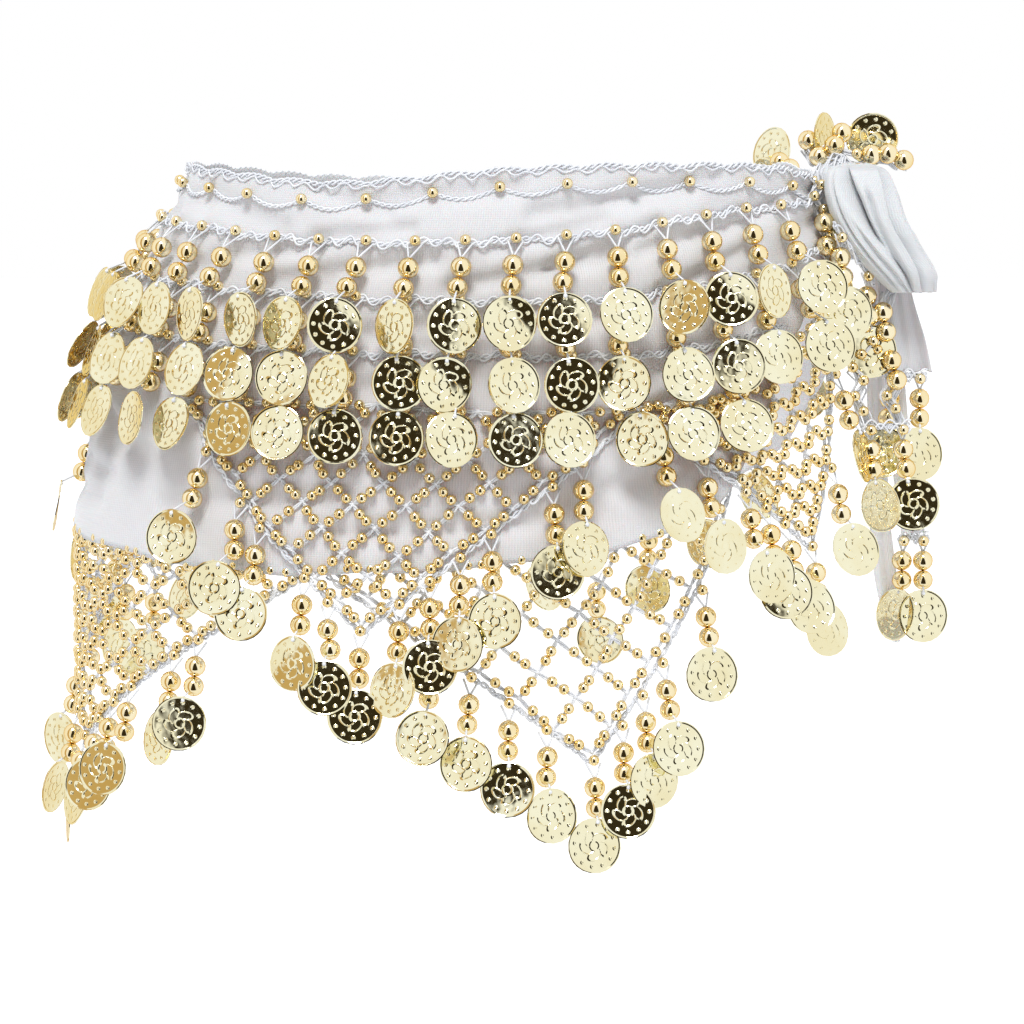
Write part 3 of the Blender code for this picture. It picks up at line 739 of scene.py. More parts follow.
def add_strings(node_name, strings, lines, facings=(), nodes=None, room=TURN_ROOM, slope=0.0):
    """Makes the thread piece and the gold pieces of one group of strings.

    Lines are more threads. Facings are the ways that the last coins look, in degrees from the
    front; the others turn about their threads by seeded amounts. A coin that is turned by yaw
    stands out by room * |sin(yaw)|. Slope is how far the coins lean at the sides of the hips.
    """
    nodes = [node_name] if nodes is None else nodes
    count = len(strings.hole)
    loose = rng.normal(size=(6, count))
    azimuth = np.degrees(np.arctan2(strings.away[:, 0], -strings.away[:, 1]))
    facing = azimuth - loose[1] * COIN_TURN
    facing[count - len(facings):] = facings
    yaw = (azimuth - facing) * np.sign(strings.up[:, 2])
    fall = np.clip(-strings.hole[:, 2] / HIP_DROP, 0, 1)
    lean = slope * np.sqrt(1 - fall) * np.sin(np.radians(azimuth)) ** 2
    pitch = np.abs(loose[2]) * COIN_TIP + 3 + lean * (strings.up[:, 2] > 0)
    clear = np.abs(np.sin(np.radians(yaw))) * room
    holes = strings.hole + strings.away * clear[:, None]
    second = strings.second + strings.away * clear[:, None] * BEAD_SHARE
    top = strings.first + strings.up * LARGE_BEAD * 0.8
    share = np.linspace(0, 1, 5)[None, :, None]
    ways = [between(start[:, None], top[:, None], share) for start in (strings.left, strings.right)]
    below = holes - strings.up * 0.0008 + strings.away * 0.0005
    stops = np.stack([top, strings.first, second, holes + strings.up * 0.001, below], axis=1)
    ways.append(stops)
    ways = np.concatenate(ways)
    threads = [tubes(ways, THREAD, around_hips(ways))]
    threads += [tubes(line, THREAD * 1.1, around_hips(line)) for line in lines]
    threads.append(balls(BALL_KNOT, holes + strings.away * 0.0003, 0.0010))
    points, quads = joined(*threads)
    make_piece(node_name + "_thread", points, quads, thread, "crochet_cord", nodes)

    drift = strings.side * loose[0][:, None] * BEAD_DRIFT
    parts = [
        balls(BALL_LARGE, strings.first, LARGE_BEAD),
        balls(BALL_LARGE, second + drift, LARGE_BEAD * 0.98),
        balls(BALL_SMALL, strings.knot, SMALL_BEAD),
    ]
    make_piece(node_name + "_beads", *joined(*parts), bead_gold, "gold", nodes)

    roll, bend, twist = loose[3] * COIN_ROLL, loose[4] * COIN_BEND, loose[5] * COIN_TWIST
    side, up, away = turned(strings.side, strings.up, strings.away, yaw, pitch, roll)
    points, quads, uv = coins(holes, side, up, away, bend, twist)
    make_piece(node_name + "_discs", points, quads, coin_gold, "gold", nodes, uv, sharp=50)


# Top trim: a crocheted chain along the scalloped top edge, with a second thread looped
# under it and a small bead at each scallop. It is worked straight onto the cloth.

TRIM_STEP = 0.0370      # between the small beads of the trim
TRIM_DROP = 0.0080      # from the top edge down to the ends of the loops
TRIM_SAG = 0.0038       # how much lower the middle of a loop hangs


def add_top_trim():
    """Chain on the top edge, and loops below it: z = top - drop - sag |sin|."""
    arc = np.arange(arc_at(KNOT_BACK) + 0.004, arc_at(KNOT_FRONT) - 0.004, LINE_STEP)
    angle = angle_at(arc)
    z = height("top", angle) + waves_of_top(arc)
    out = cloth_out(arc, z)
    edge = chain(arc, z - 0.0006, out + 0.0001)
    low = height("top", angle) - TRIM_DROP - TRIM_SAG * np.abs(np.sin(math.pi * arc / TRIM_STEP))
    loops = chain(arc, low, cloth_out(arc, low) + 0.0007, reach=0.0006)
    zigzag = picots(arc, z - 0.0022, out + 0.0005, 0.0011, 0.0130)
    points, quads = joined(*[tubes(p, THREAD, around_hips(p)) for p in (edge, loops, zigzag)])
    make_piece("top_trim_thread", points, quads, thread, "crochet_cord")
    first, last = math.ceil(arc[0] / TRIM_STEP), math.floor(arc[-1] / TRIM_STEP)
    stations = np.arange(first, last + 1) * TRIM_STEP
    tops = height("top", angle_at(stations)) - 0.0075
    centres = hip_point(angle_at(stations), tops, cloth_out(stations, tops) + 0.0026)
    make_piece("top_trim_beads", *balls(BALL_SMALL, centres, SMALL_BEAD), bead_gold, "gold")


add_top_trim()


# Coin rows: three crocheted lines round the hips, sewn to the panel one below the other.
# From each hang strings of two large beads and a coin, every 26 mm. The middle row is
# set half a step along, so its coins show between those of the others.

ROW_PITCH = 0.0262
ROW_LAYERS = {"row_1": 0.0134, "row_2": 0.0122, "row_3": 0.0110}     # coins above the cloth
ROW_SWING = 3.0         # seeded swing of a row's strings, in degrees
ROW_FACINGS = {
    "row_1": (-58, -50, -44, 6, -46, 10, 15, 2, 16, -26, 3, 50, 20),
    "row_2": (-40, -24, -16, -42, 2, 14, 22, 3, -15, 18, 9, 24, 20),
    "row_3": (-48, -30, -14, 1, -3, 20, 9, 17, -20, 16, 14),
}
ROW_ENDS = {"row_1": (-255.0, 66.0), "row_2": (-249.0, 60.0), "row_3": (-242.0, 50.0)}


def add_row(line, number):
    """One row: its chain, its zigzag thread and its strings."""
    start, end = arc_at(ROW_ENDS[line][0]), arc_at(ROW_ENDS[line][1])
    count = int((end - start) / ROW_PITCH)
    stagger = ROW_PITCH * 0.5 * (number % 2)
    arcs = start + stagger + ROW_PITCH * (np.arange(count) + 0.5)
    z = height(line, angle_at(arcs))
    swing = rng.normal(size=count) * ROW_SWING
    layer = np.full(count, ROW_LAYERS[line])
    strings = hang(arcs, z, swing, BEAD_OUT, layer)
    path = np.arange(start - 0.003, end + 0.008 + stagger, LINE_STEP)
    level = height(line, angle_at(path)) + 0.0007 * np.sin(path * 145)
    out = LINE_OUT + cloth_out(path, level)
    lines = [chain(path, level, out), picots(path, level, out + 0.0006, 0.0020, 0.0125)]
    add_strings("coin_" + line, strings, lines, ROW_FACINGS[line], slope=HIP_LEAN)


for number, line in enumerate(("row_1", "row_2", "row_3")):
    add_row(line, number)


# Nets: crocheted triangles of diamond mesh. Each side of a diamond carries two small beads
# and each crossing is a crocheted knot. Three lie on the cloth, one is bunched under the
# knot, and two hang behind the hem. Coin strings are tied to both lower edges.

NET_CORD = 0.0017
HEM_LAP = 0.0020
OVER_CLOTH = 0.0009     # back of a net that lies on the cloth, and of one that hangs behind it
UNDER_CLOTH = -0.0039
CORD_RISE = 0.0009      # from there to the middle of its cords
SEAM = 0.0004
COIN_CLEAR = 0.0042     # from the middle of the lower bead to the first coin
COIN_REACH = 0.0262
NET_TURN_ROOM = 0.0020  # as TURN_ROOM, for the nets' coins, which hang free
NET_SWING = 2.5         # seeded swing of a net's strings, in degrees
NET_SLACK = 0.0007      # seeded shift of a net's knots, and sag of its cords
PLY_SWING = 0.00055     # how far a cord's two plies swing apart sideways
PLY_LIFT = 0.0004       # and over each other
BEAD_PLACES = (0.36, 0.68)      # of a cord's two beads, as shares of its length
Net = namedtuple("Net", "name line left right apex apex_z cells strands over")
NETS = [
    Net(
        "front_net", "net", -47, 22, -15, -0.200, 9,
        (2, 4, 5, 7, 8, 9, 10, 11, 12, 13, 15, 16), True,
    ),
    Net("left_net", "net", -96, -156, -126, -0.196, 8, (2, 4, 6, 8, 10, 12, 14), True),
    Net("back_net", "net", -168, -228, -198, -0.196, 8, (2, 4, 6, 8, 10, 12, 14), True),
    Net("knot_net", "net", 24, 66, 53, -0.166, 8, (1, 3, 5, 6, 7, 8, 11, 14), True),
    Net("hem_net_front", "hem", -20, 38, 16.5, -0.258, 7, (3, 4, 5, 6, 7, 8, 9, 10, 12), False),
    Net("hem_net_left", "hem", -130, -24, -75, -0.259, 10, (3, 5, 7, 9, 10, 11, 12, 13, 15, 16), False),
]


def net_knots(net):
    """(arc, z) of the knots: row j has cells + 1 - j of them and leads j / cells down to the apex."""
    left, right = sorted((arc_at(net.left), arc_at(net.right)))
    apex = arc_at(net.apex)
    lap = 0.0 if net.over else HEM_LAP
    rows = []
    for j in range(net.cells + 1):
        share = j / net.cells
        k = np.arange(net.cells + 1 - j)
        start, end = left + (apex - left) * share, right + (apex - right) * share
        arc = start + (end - start) * k / max(net.cells - j, 1)
        top_arc = left + (right - left) * (k + j / 2) / net.cells
        top_z = height(net.line, angle_at(top_arc)) + lap
        rows.append(np.stack([arc, top_z + (net.apex_z - top_z) * share], axis=-1))
    return rows


def net_cords(rows, keep=None):
    """Ends of every cord, as (arc, z) pairs.

    keep(column) picks the cords of one part; the column counts from the middle of the net.
    """
    cells = len(rows) - 1
    ends = []
    for j, row in enumerate(rows):
        for k in range(len(row)):
            column = k - (cells - j) / 2
            ways = []
            if j < cells and k > 0:
                ways.append((rows[j + 1][k - 1], column - 0.25))
            if j < cells and k < len(rows[j + 1]):
                ways.append((rows[j + 1][k], column + 0.25))
            if j == 0 and k + 1 < len(row):
                ways.append((row[k + 1], column + 0.5))
            ends += [(row[k], far) for far, middle in ways if keep is None or keep(middle)]
    return np.array(ends)


def add_net(name, net, rows, keep=None):
    """One net: its cords as two plies that cross at the middle, beads on them, and knots."""
    low = OVER_CLOTH if net.over else UNDER_CLOTH
    middle = low + CORD_RISE
    slack = np.random.default_rng(len(name) + net.cells)
    inner = [row + slack.normal(size=row.shape) * NET_SLACK for row in rows]
    ends = net_cords(inner, keep)
    share = np.linspace(0, 1, 9)
    arc = between(ends[:, 0, :1], ends[:, 1, :1], share)
    z = between(ends[:, 0, 1:], ends[:, 1, 1:], share)
    z = z - NET_SLACK * np.sin(math.pi * share) * slack.uniform(0, 1.6, len(ends))[:, None]
    cling = cloth_out(arc, z) if net.over else 0.0
    run = unit(ends[:, 1] - ends[:, 0])
    plies = []
    for way in (1, -1):
        off = way * PLY_SWING * np.sin(3 * math.pi * share)
        lift = way * PLY_LIFT * np.cos(3 * math.pi * share)
        angle = angle_at(arc - run[:, 1:] * off)
        plies.append(hip_point(angle, z + run[:, :1] * off, middle + lift + cling))
    plies = np.concatenate(plies)
    knots = np.unique(np.round(ends.reshape(-1, 2), 6), axis=0)
    knot_out = middle + (cloth_out(knots[:, 0], knots[:, 1]) if net.over else 0.0)
    centres = hip_point(angle_at(knots[:, 0]), knots[:, 1], knot_out)
    sizes = slack.uniform(0.0009, 0.0013, len(centres))
    shape = joined(tubes(plies, THREAD, around_hips(plies)), balls(BALL_KNOT, centres, sizes))
    make_piece(name + "_thread", *shape, thread, "crochet_cord", [name])
    spots = []
    for place in BEAD_PLACES:
        at = place + slack.uniform(-0.06, 0.06, len(ends))
        bead_arc, bead_z = between(ends[:, 0].T, ends[:, 1].T, at)
        cling = cloth_out(bead_arc, bead_z) if net.over else 0.0
        spots.append(hip_point(angle_at(bead_arc), bead_z, middle + 0.0012 + cling))
    spots = np.concatenate(spots)
    make_piece(name + "_beads", *balls(BALL_SMALL, spots, SMALL_BEAD), bead_gold, "gold", [name])


def coin_layers(net, path):
    """How many coins lie under each coin: one that overlaps the next lower one lies over it."""
    layers = {net.cells: 0}
    for way in (-1, 1):
        below = net.cells
        for i in range(net.cells + way, net.cells + way * net.cells, way):
            if i in net.strands:
                apart = np.abs(path[i] - path[below])
                near = apart[0] < 2 * COIN + SEAM and apart[1] < COIN_REACH
                layers[i] = layers[below] + 1 if near else 0
                below = i
    return layers


def add_edging(net, rows):
    """The chain along both lower edges of a net, with its coin strings."""
    path = np.array([row[0] for row in rows] + [row[-1] for row in rows[-2::-1]])
    run = unit(np.diff(path, axis=0))
    before, after = np.concatenate([run[:1], run]), np.concatenate([run, run[-1:]])
    along = unit(before + after)
    across = np.stack([along[:, 1], -along[:, 0]], axis=-1)
    bend = np.sum(across * np.stack([before[:, 1], -before[:, 0]], axis=-1), axis=-1)
    shift = 0.8 * NET_CORD + SEAM + BRAID_WIDTH / 2
    braid = path + across * (shift / bend)[:, None]
    low = OVER_CLOTH if net.over else UNDER_CLOTH
    bead_out = BEAD_OUT if net.over else BEAD_OUT + low
    layers = coin_layers(net, path)
    first_layer = BEAD_OUT + BEAD_STEP + COIN_CLEAR + (0.0 if net.over else UNDER_CLOTH)
    picked = [i for i in range(1, len(path) - 1) if i in net.strands]
    coin_out = np.array([first_layer + COIN_STEP * layers.get(i, 0) for i in picked])
    hung = braid[picked, 0] + along[picked, 1] * BRAID_WIDTH
    swing = rng.normal(size=len(picked)) * NET_SWING
    strings = hang(hung, braid[picked, 1], swing, bead_out, coin_out)
    steps = np.concatenate([[0], np.cumsum(np.linalg.norm(np.diff(braid, axis=0), axis=1))])
    at = np.arange(0, steps[-1], LINE_STEP)
    arc, z = (np.interp(at, steps, braid[:, i]) for i in (0, 1))
    cling = cloth_out(arc, z) if net.over else 0.0
    out = low + CORD_RISE + cling
    lines = [chain(arc, z, out), picots(arc, z, out + 0.0005, 0.0014, 0.0105)]
    add_strings(net.name + "_coins", strings, lines, room=NET_TURN_ROOM)


for net in NETS:
    knots = net_knots(net)
    if net.name == "hem_net_left":
        add_net("hem_net_left_front", net, knots, lambda column: column >= 0)
        add_net("hem_net_left_back", net, knots, lambda column: column < 0)
    else:
        add_net(net.name, net, knots)
    add_edging(net, knots)


# Knot: both ends of the panel are tied over each other. A turn of cloth goes round them, a
# loop is drawn out of it and hangs in deep folds, and a smaller flap lies behind the loop.

KNOT_ANGLE = 85.0
KNOT_Z = -0.020
KNOT_RADIUS = 0.016     # mean radius of the turn, for the measure of its knit
LOOP = np.array([
    # x, y, z, half width, half depth, turn
    (0.1625, -0.0239, 0.0015, 0.0060, 0.0050, 0),
    (0.1625, -0.0309, -0.0015, 0.0135, 0.0080, 5),
    (0.1640, -0.0339, -0.0110, 0.0170, 0.0105, 10),
    (0.1680, -0.0359, -0.0240, 0.0175, 0.0120, 14),
    (0.1755, -0.0359, -0.0370, 0.0175, 0.0120, 18),
    (0.1835, -0.0349, -0.0480, 0.0160, 0.0105, 20),
    (0.1885, -0.0339, -0.0570, 0.0110, 0.0070, 20),
])
FLAP = np.array([
    (0.1687, -0.0175, -0.0080, 0.0045, 0.0030, 0),
    (0.1721, -0.0175, -0.0190, 0.0085, 0.0035, 0),
    (0.1790, -0.0175, -0.0320, 0.0120, 0.0035, 0),
    (0.1840, -0.0175, -0.0440, 0.0105, 0.0030, 0),
    (0.1855, -0.0175, -0.0520, 0.0055, 0.0022, 0),
])
LOOP_CREASES = np.array([
    # around (degrees) and share of the way down, of both ends, width, depth
    (233, 0.20, 250, 0.47, 7.5, 0.0125),
    (252, 0.60, 256, 0.85, 5.0, 0.0026),
    (322, 0.26, 301, 0.60, 7.0, 0.0080),
    (301, 0.60, 284, 0.97, 5.0, 0.0045),
    (272, 0.40, 250, 0.97, 4.5, 0.0040),
    (228, 0.62, 236, 0.97, 5.0, 0.0024),
    (208, 0.12, 214, 0.90, 3.5, 0.0022),
    (342, 0.45, 322, 0.98, 5.0, 0.0040),
    (150, 0.10, 140, 0.95, 10.0, 0.0034),
    (100, 0.10, 95, 0.95, 10.0, 0.0030),
    (40, 0.15, 52, 0.95, 9.0, 0.0034),
])
FLAP_CREASES = np.array([
    (250, 0.05, 240, 0.95, 12.0, 0.0010),
    (295, 0.10, 300, 0.95, 12.0, 0.0010),
    (75, 0.10, 90, 0.95, 14.0, 0.0010),
])


def folded_tube(table, folds, rows, columns):
    """Oval rings along a spine, drawn in by troughs.

    At (around, down) the reach is 1 - trough / half width; around is 270 degrees at the front.
    """
    stations = np.linspace(0, 1, len(table))
    down = np.linspace(0, 1, rows)
    x, y, z, width, depth, turn = (curve_through(stations, table[:, i], down) for i in range(6))
    around = np.linspace(0, 360, columns, endpoint=False)[None, :]
    share = down[:, None] * 60
    scaled = folds * np.array([1, 60, 1, 60, 1, 1])
    sunk = sum(creases(around + lap, share, scaled) for lap in (-360, 0, 360))
    sunk = sunk * np.minimum(1, width / width.max() * 1.3)[:, None]
    angle = np.radians(around)
    u = width[:, None] * np.cos(angle)
    v = depth[:, None] * np.sin(angle)
    reach = 1 - sunk / np.maximum(np.hypot(u, v), 0.004)
    u, v = u * reach, v * reach
    turn = np.radians(turn)[:, None]
    points = np.stack(
        [
            x[:, None] + u * np.cos(turn) - v * np.sin(turn),
            y[:, None] + u * np.sin(turn) + v * np.cos(turn),
            np.broadcast_to(z[:, None], u.shape),
        ],
        axis=-1,
    )
    girth = np.cumsum(np.linalg.norm(np.diff(points, axis=1, prepend=points[:, :1]), axis=-1), axis=1)
    drop = np.broadcast_to(z[:, None], u.shape)
    return points, np.stack([girth, drop], axis=-1)


def add_knot_piece(name, node_name, table, folds, rows, columns):
    """A folded tube of voile; its UV map holds the size of its cut."""
    points, uv = folded_tube(table, folds, rows, columns)
    piece = make_piece(
        name, points, grid_quads(rows, columns, closed=True), voile, "voile", [node_name], uv
    )
    give_wall(piece, VOILE)


def add_knot_turn():
    """Round turn over the knot: level rings round a bulge, drawn in by folds that slant."""
    rows, columns = 60, 120
    tilt = np.radians(np.linspace(-80, 80, rows))[:, None]
    around = np.linspace(0, 2 * math.pi, columns, endpoint=False)[None, :]
    size = np.cos(tilt)
    slant = around * 7 + tilt * 2.2
    fold = 1 - 0.10 * (0.5 - 0.5 * np.cos(slant)) - 0.05 * (0.5 - 0.5 * np.cos(slant * 2 + 1))
    angle = KNOT_ANGLE + 9.7 * size * fold * np.cos(around)
    out = 0.0062 + 0.0100 * size * fold * np.sin(around)
    z = KNOT_Z + 0.0225 * np.sin(tilt)
    points = hip_point(angle, z, out)[:, ::-1]
    uv = np.stack(np.broadcast_arrays(around * KNOT_RADIUS, z), axis=-1)
    piece = make_piece(
        "knot_turn", points, grid_quads(rows, columns, closed=True), voile, "voile", ["knot_wrap"], uv
    )
    give_wall(piece, VOILE)


add_knot_piece("knot_drape", "knot_loop", LOOP, LOOP_CREASES, 110, 220)
add_knot_piece("knot_fold", "knot_flap", FLAP, FLAP_CREASES, 50, 80)
add_knot_turn()


# Knotted ends: the scarf's two tails hang from the knot, with a crocheted edge and two coin
# strings each. The panel's corner hangs behind them as a thin pointed strip.

ENDS = {
    "upper_end": np.array([
        # x, y, z, half width, wave
        (0.1790, -0.0228, -0.0440, 0.0060, 0.0000),
        (0.1815, -0.0228, -0.0640, 0.0085, 0.0010),
        (0.1840, -0.0228, -0.0800, 0.0110, 0.0025),
        (0.1860, -0.0228, -0.0940, 0.0122, 0.0035),
    ]),
    "lower_end": np.array([
        (0.1815, -0.0130, -0.0300, 0.0040, 0.0000),
        (0.1820, -0.0130, -0.1000, 0.0045, 0.0010),
        (0.1860, -0.0130, -0.1400, 0.0050, 0.0015),
        (0.1910, -0.0130, -0.1700, 0.0055, 0.0015),
    ]),
    "inner_end": np.array([
        (0.1718, -0.0060, -0.0260, 0.0040, 0.0000),
        (0.1740, -0.0060, -0.1100, 0.0045, 0.0010),
        (0.1755, -0.0060, -0.1600, 0.0048, 0.0015),
        (0.1805, -0.0060, -0.2020, 0.0045, 0.0010),
        (0.1840, -0.0060, -0.2210, 0.0016, 0.0000),
    ]),
}
Free = namedtuple("Free", "x y z lean out")
FREE_STRINGS = {
    "upper_end_coins": [
        Free(0.1795, -0.0228, -0.0958, -5, -0.0040),
        Free(0.1925, -0.0228, -0.0958, -1, 0.0040),
    ],
    "lower_end_coins": [
        Free(0.1865, -0.0130, -0.1718, -5, -0.0040),
        Free(0.1955, -0.0130, -0.1718, -1, 0.0040),
    ],
    "knot_top_coins": [
        Free(0.1567, 0.0112, -0.0230, 176, -0.0040),
        Free(0.1687, 0.0062, -0.0230, 184, 0.0040),
    ],
}
FREE_FACINGS = {
    "upper_end_coins": (4, 26),
    "lower_end_coins": (-50, 18),
    "knot_top_coins": (62, 6),
    "knot_fall": (-48, 4),
    "knot_side_fringe": (18, 11),
}
SHORT_BRAID_WAVE = 0.0012
SHORT_BRAID_LOOPS = (0.0034, 0.0016)    # lowest reach of its two looped threads
LOOP_RISE = 0.0046
LOOP_OUT = 0.0009

# The same white voile painted lighter: its paler colour is painted light that lifts the lower tail and the
# pointed strip out of the shade they hang in.
lightened_voile = voile_material("thin voile", (0.84, 0.84, 0.85), (0.74, 0.74, 0.76), 0.0012)


def add_tail(name, columns, rows, folds, cloth):
    """A hanging tail: x runs across it, y = wave sin(2.4 across) with smaller pleats between."""
    table = ENDS[name]
    down = np.linspace(0, 1, rows)
    stations = (table[0, 2] - table[:, 2]) / (table[0, 2] - table[-1, 2])
    x, y, z, width, wave = (curve_through(stations, table[:, i], down)[:, None] for i in range(5))
    across = np.linspace(-1, 1, columns)[None, :]
    pleat = 0.35 * np.minimum(width, 0.004) * np.sin(folds * math.pi * across + 2 * down[:, None])
    points = np.stack(
        [
            x + across * width,
            y + wave * np.sin(2.4 * across) + 0.5 * pleat * (0.3 + down[:, None]),
            np.broadcast_to(z, pleat.shape) + 0.0006 * np.cos(9 * across) * down[:, None] ** 8,
        ],
        axis=-1,
    )
    uv = np.stack([across * width * 1.6, np.broadcast_to(z, pleat.shape)], axis=-1)
    piece = make_piece(
        name + "_cloth", points, grid_quads(rows, columns), cloth, "voile", [name], uv
    )
    give_wall(piece, VOILE, 0.0)


add_tail("upper_end", 60, 70, 3.0, voile)
# The lower tail and the pointed strip take the voile painted lighter, as painted light.
add_tail("lower_end", 30, 110, 2.0, lightened_voile)
add_tail("inner_end", 30, 130, 2.0, lightened_voile)


def add_free_strings(name, roots, nodes=None):
    """Strings that run straight from a short braid, up over the knot or down from a tail."""
    table = np.array(roots)
    place, lean, out = table[:, :3], table[:, 3], table[:, 4]
    rising = lean[0] > 90
    run = unit((place[-1] - place[0]) * np.array([1, 1, 0]))
    down = np.array([0, 0, 1.0 if rising else -1.0])
    fall = unit(down - run * down.dot(run))
    front = np.cross(fall, run)
    slope = np.radians(lean - 180 if rising else lean)[:, None]
    strand = fall * np.cos(slope) + run * np.sin(slope)
    side = run * np.cos(slope) - fall * np.sin(slope)
    away = np.broadcast_to(front, strand.shape)
    if front[1] > 0:
        away, side = -away, side

    def at(drop, off):
        return place + strand * drop + front * np.reshape(off, (-1, 1))

    strings = Strings(
        at(0.0015, 0.0015),
        at(0, 0) - run * 0.003,
        at(0, 0) + run * 0.003,
        at(BEAD_DROPS[0], 0 * out),
        at(BEAD_DROPS[1], BEAD_STEP),
        at(COIN_DROP - HOLE * COIN, out),
        np.cross(-strand, away),
        -strand,
        away,
    )
    share = np.linspace(-0.25, 1.25, 40)[:, None]
    edge = between(place[0], place[-1], share)
    waves = [SHORT_BRAID_WAVE * np.sin(share * 23 + phase) for phase in (0, 2.1, 4.2)]
    weave = np.stack([edge + fall * wave for wave in waves])
    arches = [low - LOOP_RISE * np.abs(np.sin(share * 5.5 + low * 900)) for low in SHORT_BRAID_LOOPS]
    loops = np.stack([edge + fall * arch + front * LOOP_OUT for arch in arches])
    add_strings(name, strings, [weave, loops], FREE_FACINGS[name], nodes)


for name, roots in FREE_STRINGS.items():
    add_free_strings(name, roots)


# Thrown strings: two strings of beads and a coin have been thrown up at the back and lie
# along the top edge, beside the knot. Both are tied to one short upright chain.

def add_thrown_strings():
    """Both hang from one angle, swung past level towards the knot."""
    arc = np.full(2, arc_at(-250.0))
    z = np.array([-0.0125, -0.0050])
    strings = hang(arc, z, np.array([96.0, 108.0]), BEAD_OUT, np.array([0.0104, 0.0140]))
    down = np.linspace(-0.0145, -0.0030, 30)
    path = chain(np.full(30, arc[0]), down, 0.0012 + 0 * down)
    add_strings("thrown_coins", strings, [path])


add_thrown_strings()


# Bunched edging at the knot: the crocheted edges and nets are drawn up tight over the top of
# the knot, down its side and below it. Their threads tangle and hold the beads to the cloth.

TANGLE = np.array([0.0022, 0.0012, 0.0022])         # how far the threads swing
TANGLE_SHIFT = np.array([0.0, 0.0030, -0.0020])     # their place behind the beads
BUNCHES = {
    "knot_crown": [
        # x, y, z, size: 2 large bead, 1 small bead, 0 thread only
        (0.1414, -0.006, 0.0120, 2),
        (0.1461, -0.012, 0.0048, 2),
        (0.1568, -0.008, 0.0155, 2),
        (0.1531, -0.013, 0.0098, 2),
        (0.1630, -0.019, 0.0060, 1),
        (0.1698, -0.016, 0.0056, 2),
        (0.1776, -0.015, 0.0060, 2),
        (0.1852, -0.012, 0.0030, 2),
    ],
    "knot_lace": [
        (0.1434, -0.0240, -0.0065, 1),
        (0.1500, -0.0170, 0.0060, 0),
        (0.1570, -0.0200, 0.0040, 0),
        (0.1630, -0.0250, -0.0006, 1),
        (0.1570, -0.0250, -0.0050, 0),
        (0.1500, -0.0210, -0.0020, 0),
        (0.1560, -0.0190, 0.0060, 0),
        (0.1525, -0.0300, -0.0105, 1),
    ],
    "knot_side": [
        (0.1440, -0.0270, -0.0010, 0),
        (0.1462, -0.0300, -0.0080, 1),
        (0.1425, -0.0370, -0.0130, 1),
        (0.1470, -0.0330, -0.0190, 1),
        (0.1468, -0.0395, -0.0250, 2),
        (0.1508, -0.0335, -0.0312, 2),
        (0.1478, -0.0420, -0.0355, 2),
        (0.1540, -0.0380, -0.0418, 2),
        (0.1500, -0.0400, -0.0480, 1),
    ],
    "knot_fall_left": [
        (0.1740, -0.0330, -0.0560, 0),
        (0.1700, -0.0380, -0.0660, 1),
        (0.1660, -0.0400, -0.0730, 1),
        (0.1695, -0.0410, -0.0790, 1),
        (0.1640, -0.0420, -0.0850, 1),
        (0.1600, -0.0430, -0.0910, 1),
        (0.1650, -0.0430, -0.0970, 1),
        (0.1610, -0.0440, -0.1040, 1),
        (0.1650, -0.0440, -0.1110, 1),
        (0.1680, -0.0440, -0.1180, 0),
    ],
    "knot_fall_right": [
        (0.1780, -0.0330, -0.0560, 0),
        (0.1740, -0.0370, -0.0660, 2),
        (0.1755, -0.0380, -0.0750, 2),
        (0.1715, -0.0380, -0.0830, 1),
        (0.1780, -0.0390, -0.0880, 2),
        (0.1805, -0.0390, -0.0970, 2),
        (0.1760, -0.0390, -0.1040, 1),
        (0.1800, -0.0400, -0.1100, 1),
        (0.1830, -0.0400, -0.1180, 0),
    ],
}


def add_bunch(name, stops):
    """Threads that swing about the line through the beads by a sum of two sines each way."""
    stops = np.array(stops)
    at = np.linspace(0, 1, 6 * len(stops))
    reach = at * (len(stops) - 1)
    base = np.stack([np.interp(reach, range(len(stops)), stops[:, i]) for i in range(3)], axis=-1)
    paths = []
    for i in range(10):
        phase = rng.uniform(0, 6.28, 3)
        turn = reach[:, None] * np.array([0.5, 0.8, 0.6]) * (1 + 0.2 * (i % 3)) + phase
        paths.append(base + TANGLE * (np.sin(turn) + 0.4 * np.sin(2.3 * turn)))
    paths = np.stack(paths) + TANGLE_SHIFT
    make_piece(name + "_thread", *tubes(paths, THREAD, (0.3, -1.0, 0.2)), thread, "crochet_cord")
    large = balls(BALL_LARGE, stops[stops[:, 3] == 2, :3], LARGE_BEAD)
    small = balls(BALL_SMALL, stops[stops[:, 3] == 1, :3], SMALL_BEAD)
    make_piece(name + "_beads", *joined(large, small), bead_gold, "gold")


for name, stops in BUNCHES.items():
    add_bunch(name, stops)


# Strings of the bunched edging: two hang under the falls, in front of the tails, and two at
# the side of the knot. Each pair is tied to a short braid, like those of the tails.

BUNCH_STRINGS = {
    "knot_fall": [
        Free(0.1680, -0.0440, -0.1180, 2, -0.001),
        Free(0.1830, -0.0400, -0.1180, 3, 0.003),
    ],
    "knot_side_fringe": [
        Free(0.1535, -0.0470, -0.0300, 2, 0.001),
        Free(0.1665, -0.0370, -0.0480, 1, -0.001),
    ],
}

for name, roots in BUNCH_STRINGS.items():
    add_free_strings(name, roots, [])


# The belt hangs free over a plain pale floor, in white light from all round. The middle of
# the room behind the lens is dark, and shows in the beads and in the coins that face it.

def add_stage():
    bpy.ops.mesh.primitive_plane_add(size=30, location=(0, 0, -0.62))
    floor = bpy.context.object
    floor.name = "floor"
    material, tree, shader = new_material("pale floor", (0.93, 0.93, 0.94), 0.9)
    place = node(tree, "TexCoord").outputs["Object"]
    tone = two_tones(tree, noise(tree, place, 2.0), (0.92, 0.92, 0.925), (0.95, 0.95, 0.955))
    tree.links.new(tone, shader.inputs["Base Color"])
    floor.data.materials.append(material)
    floor.visible_glossy = False


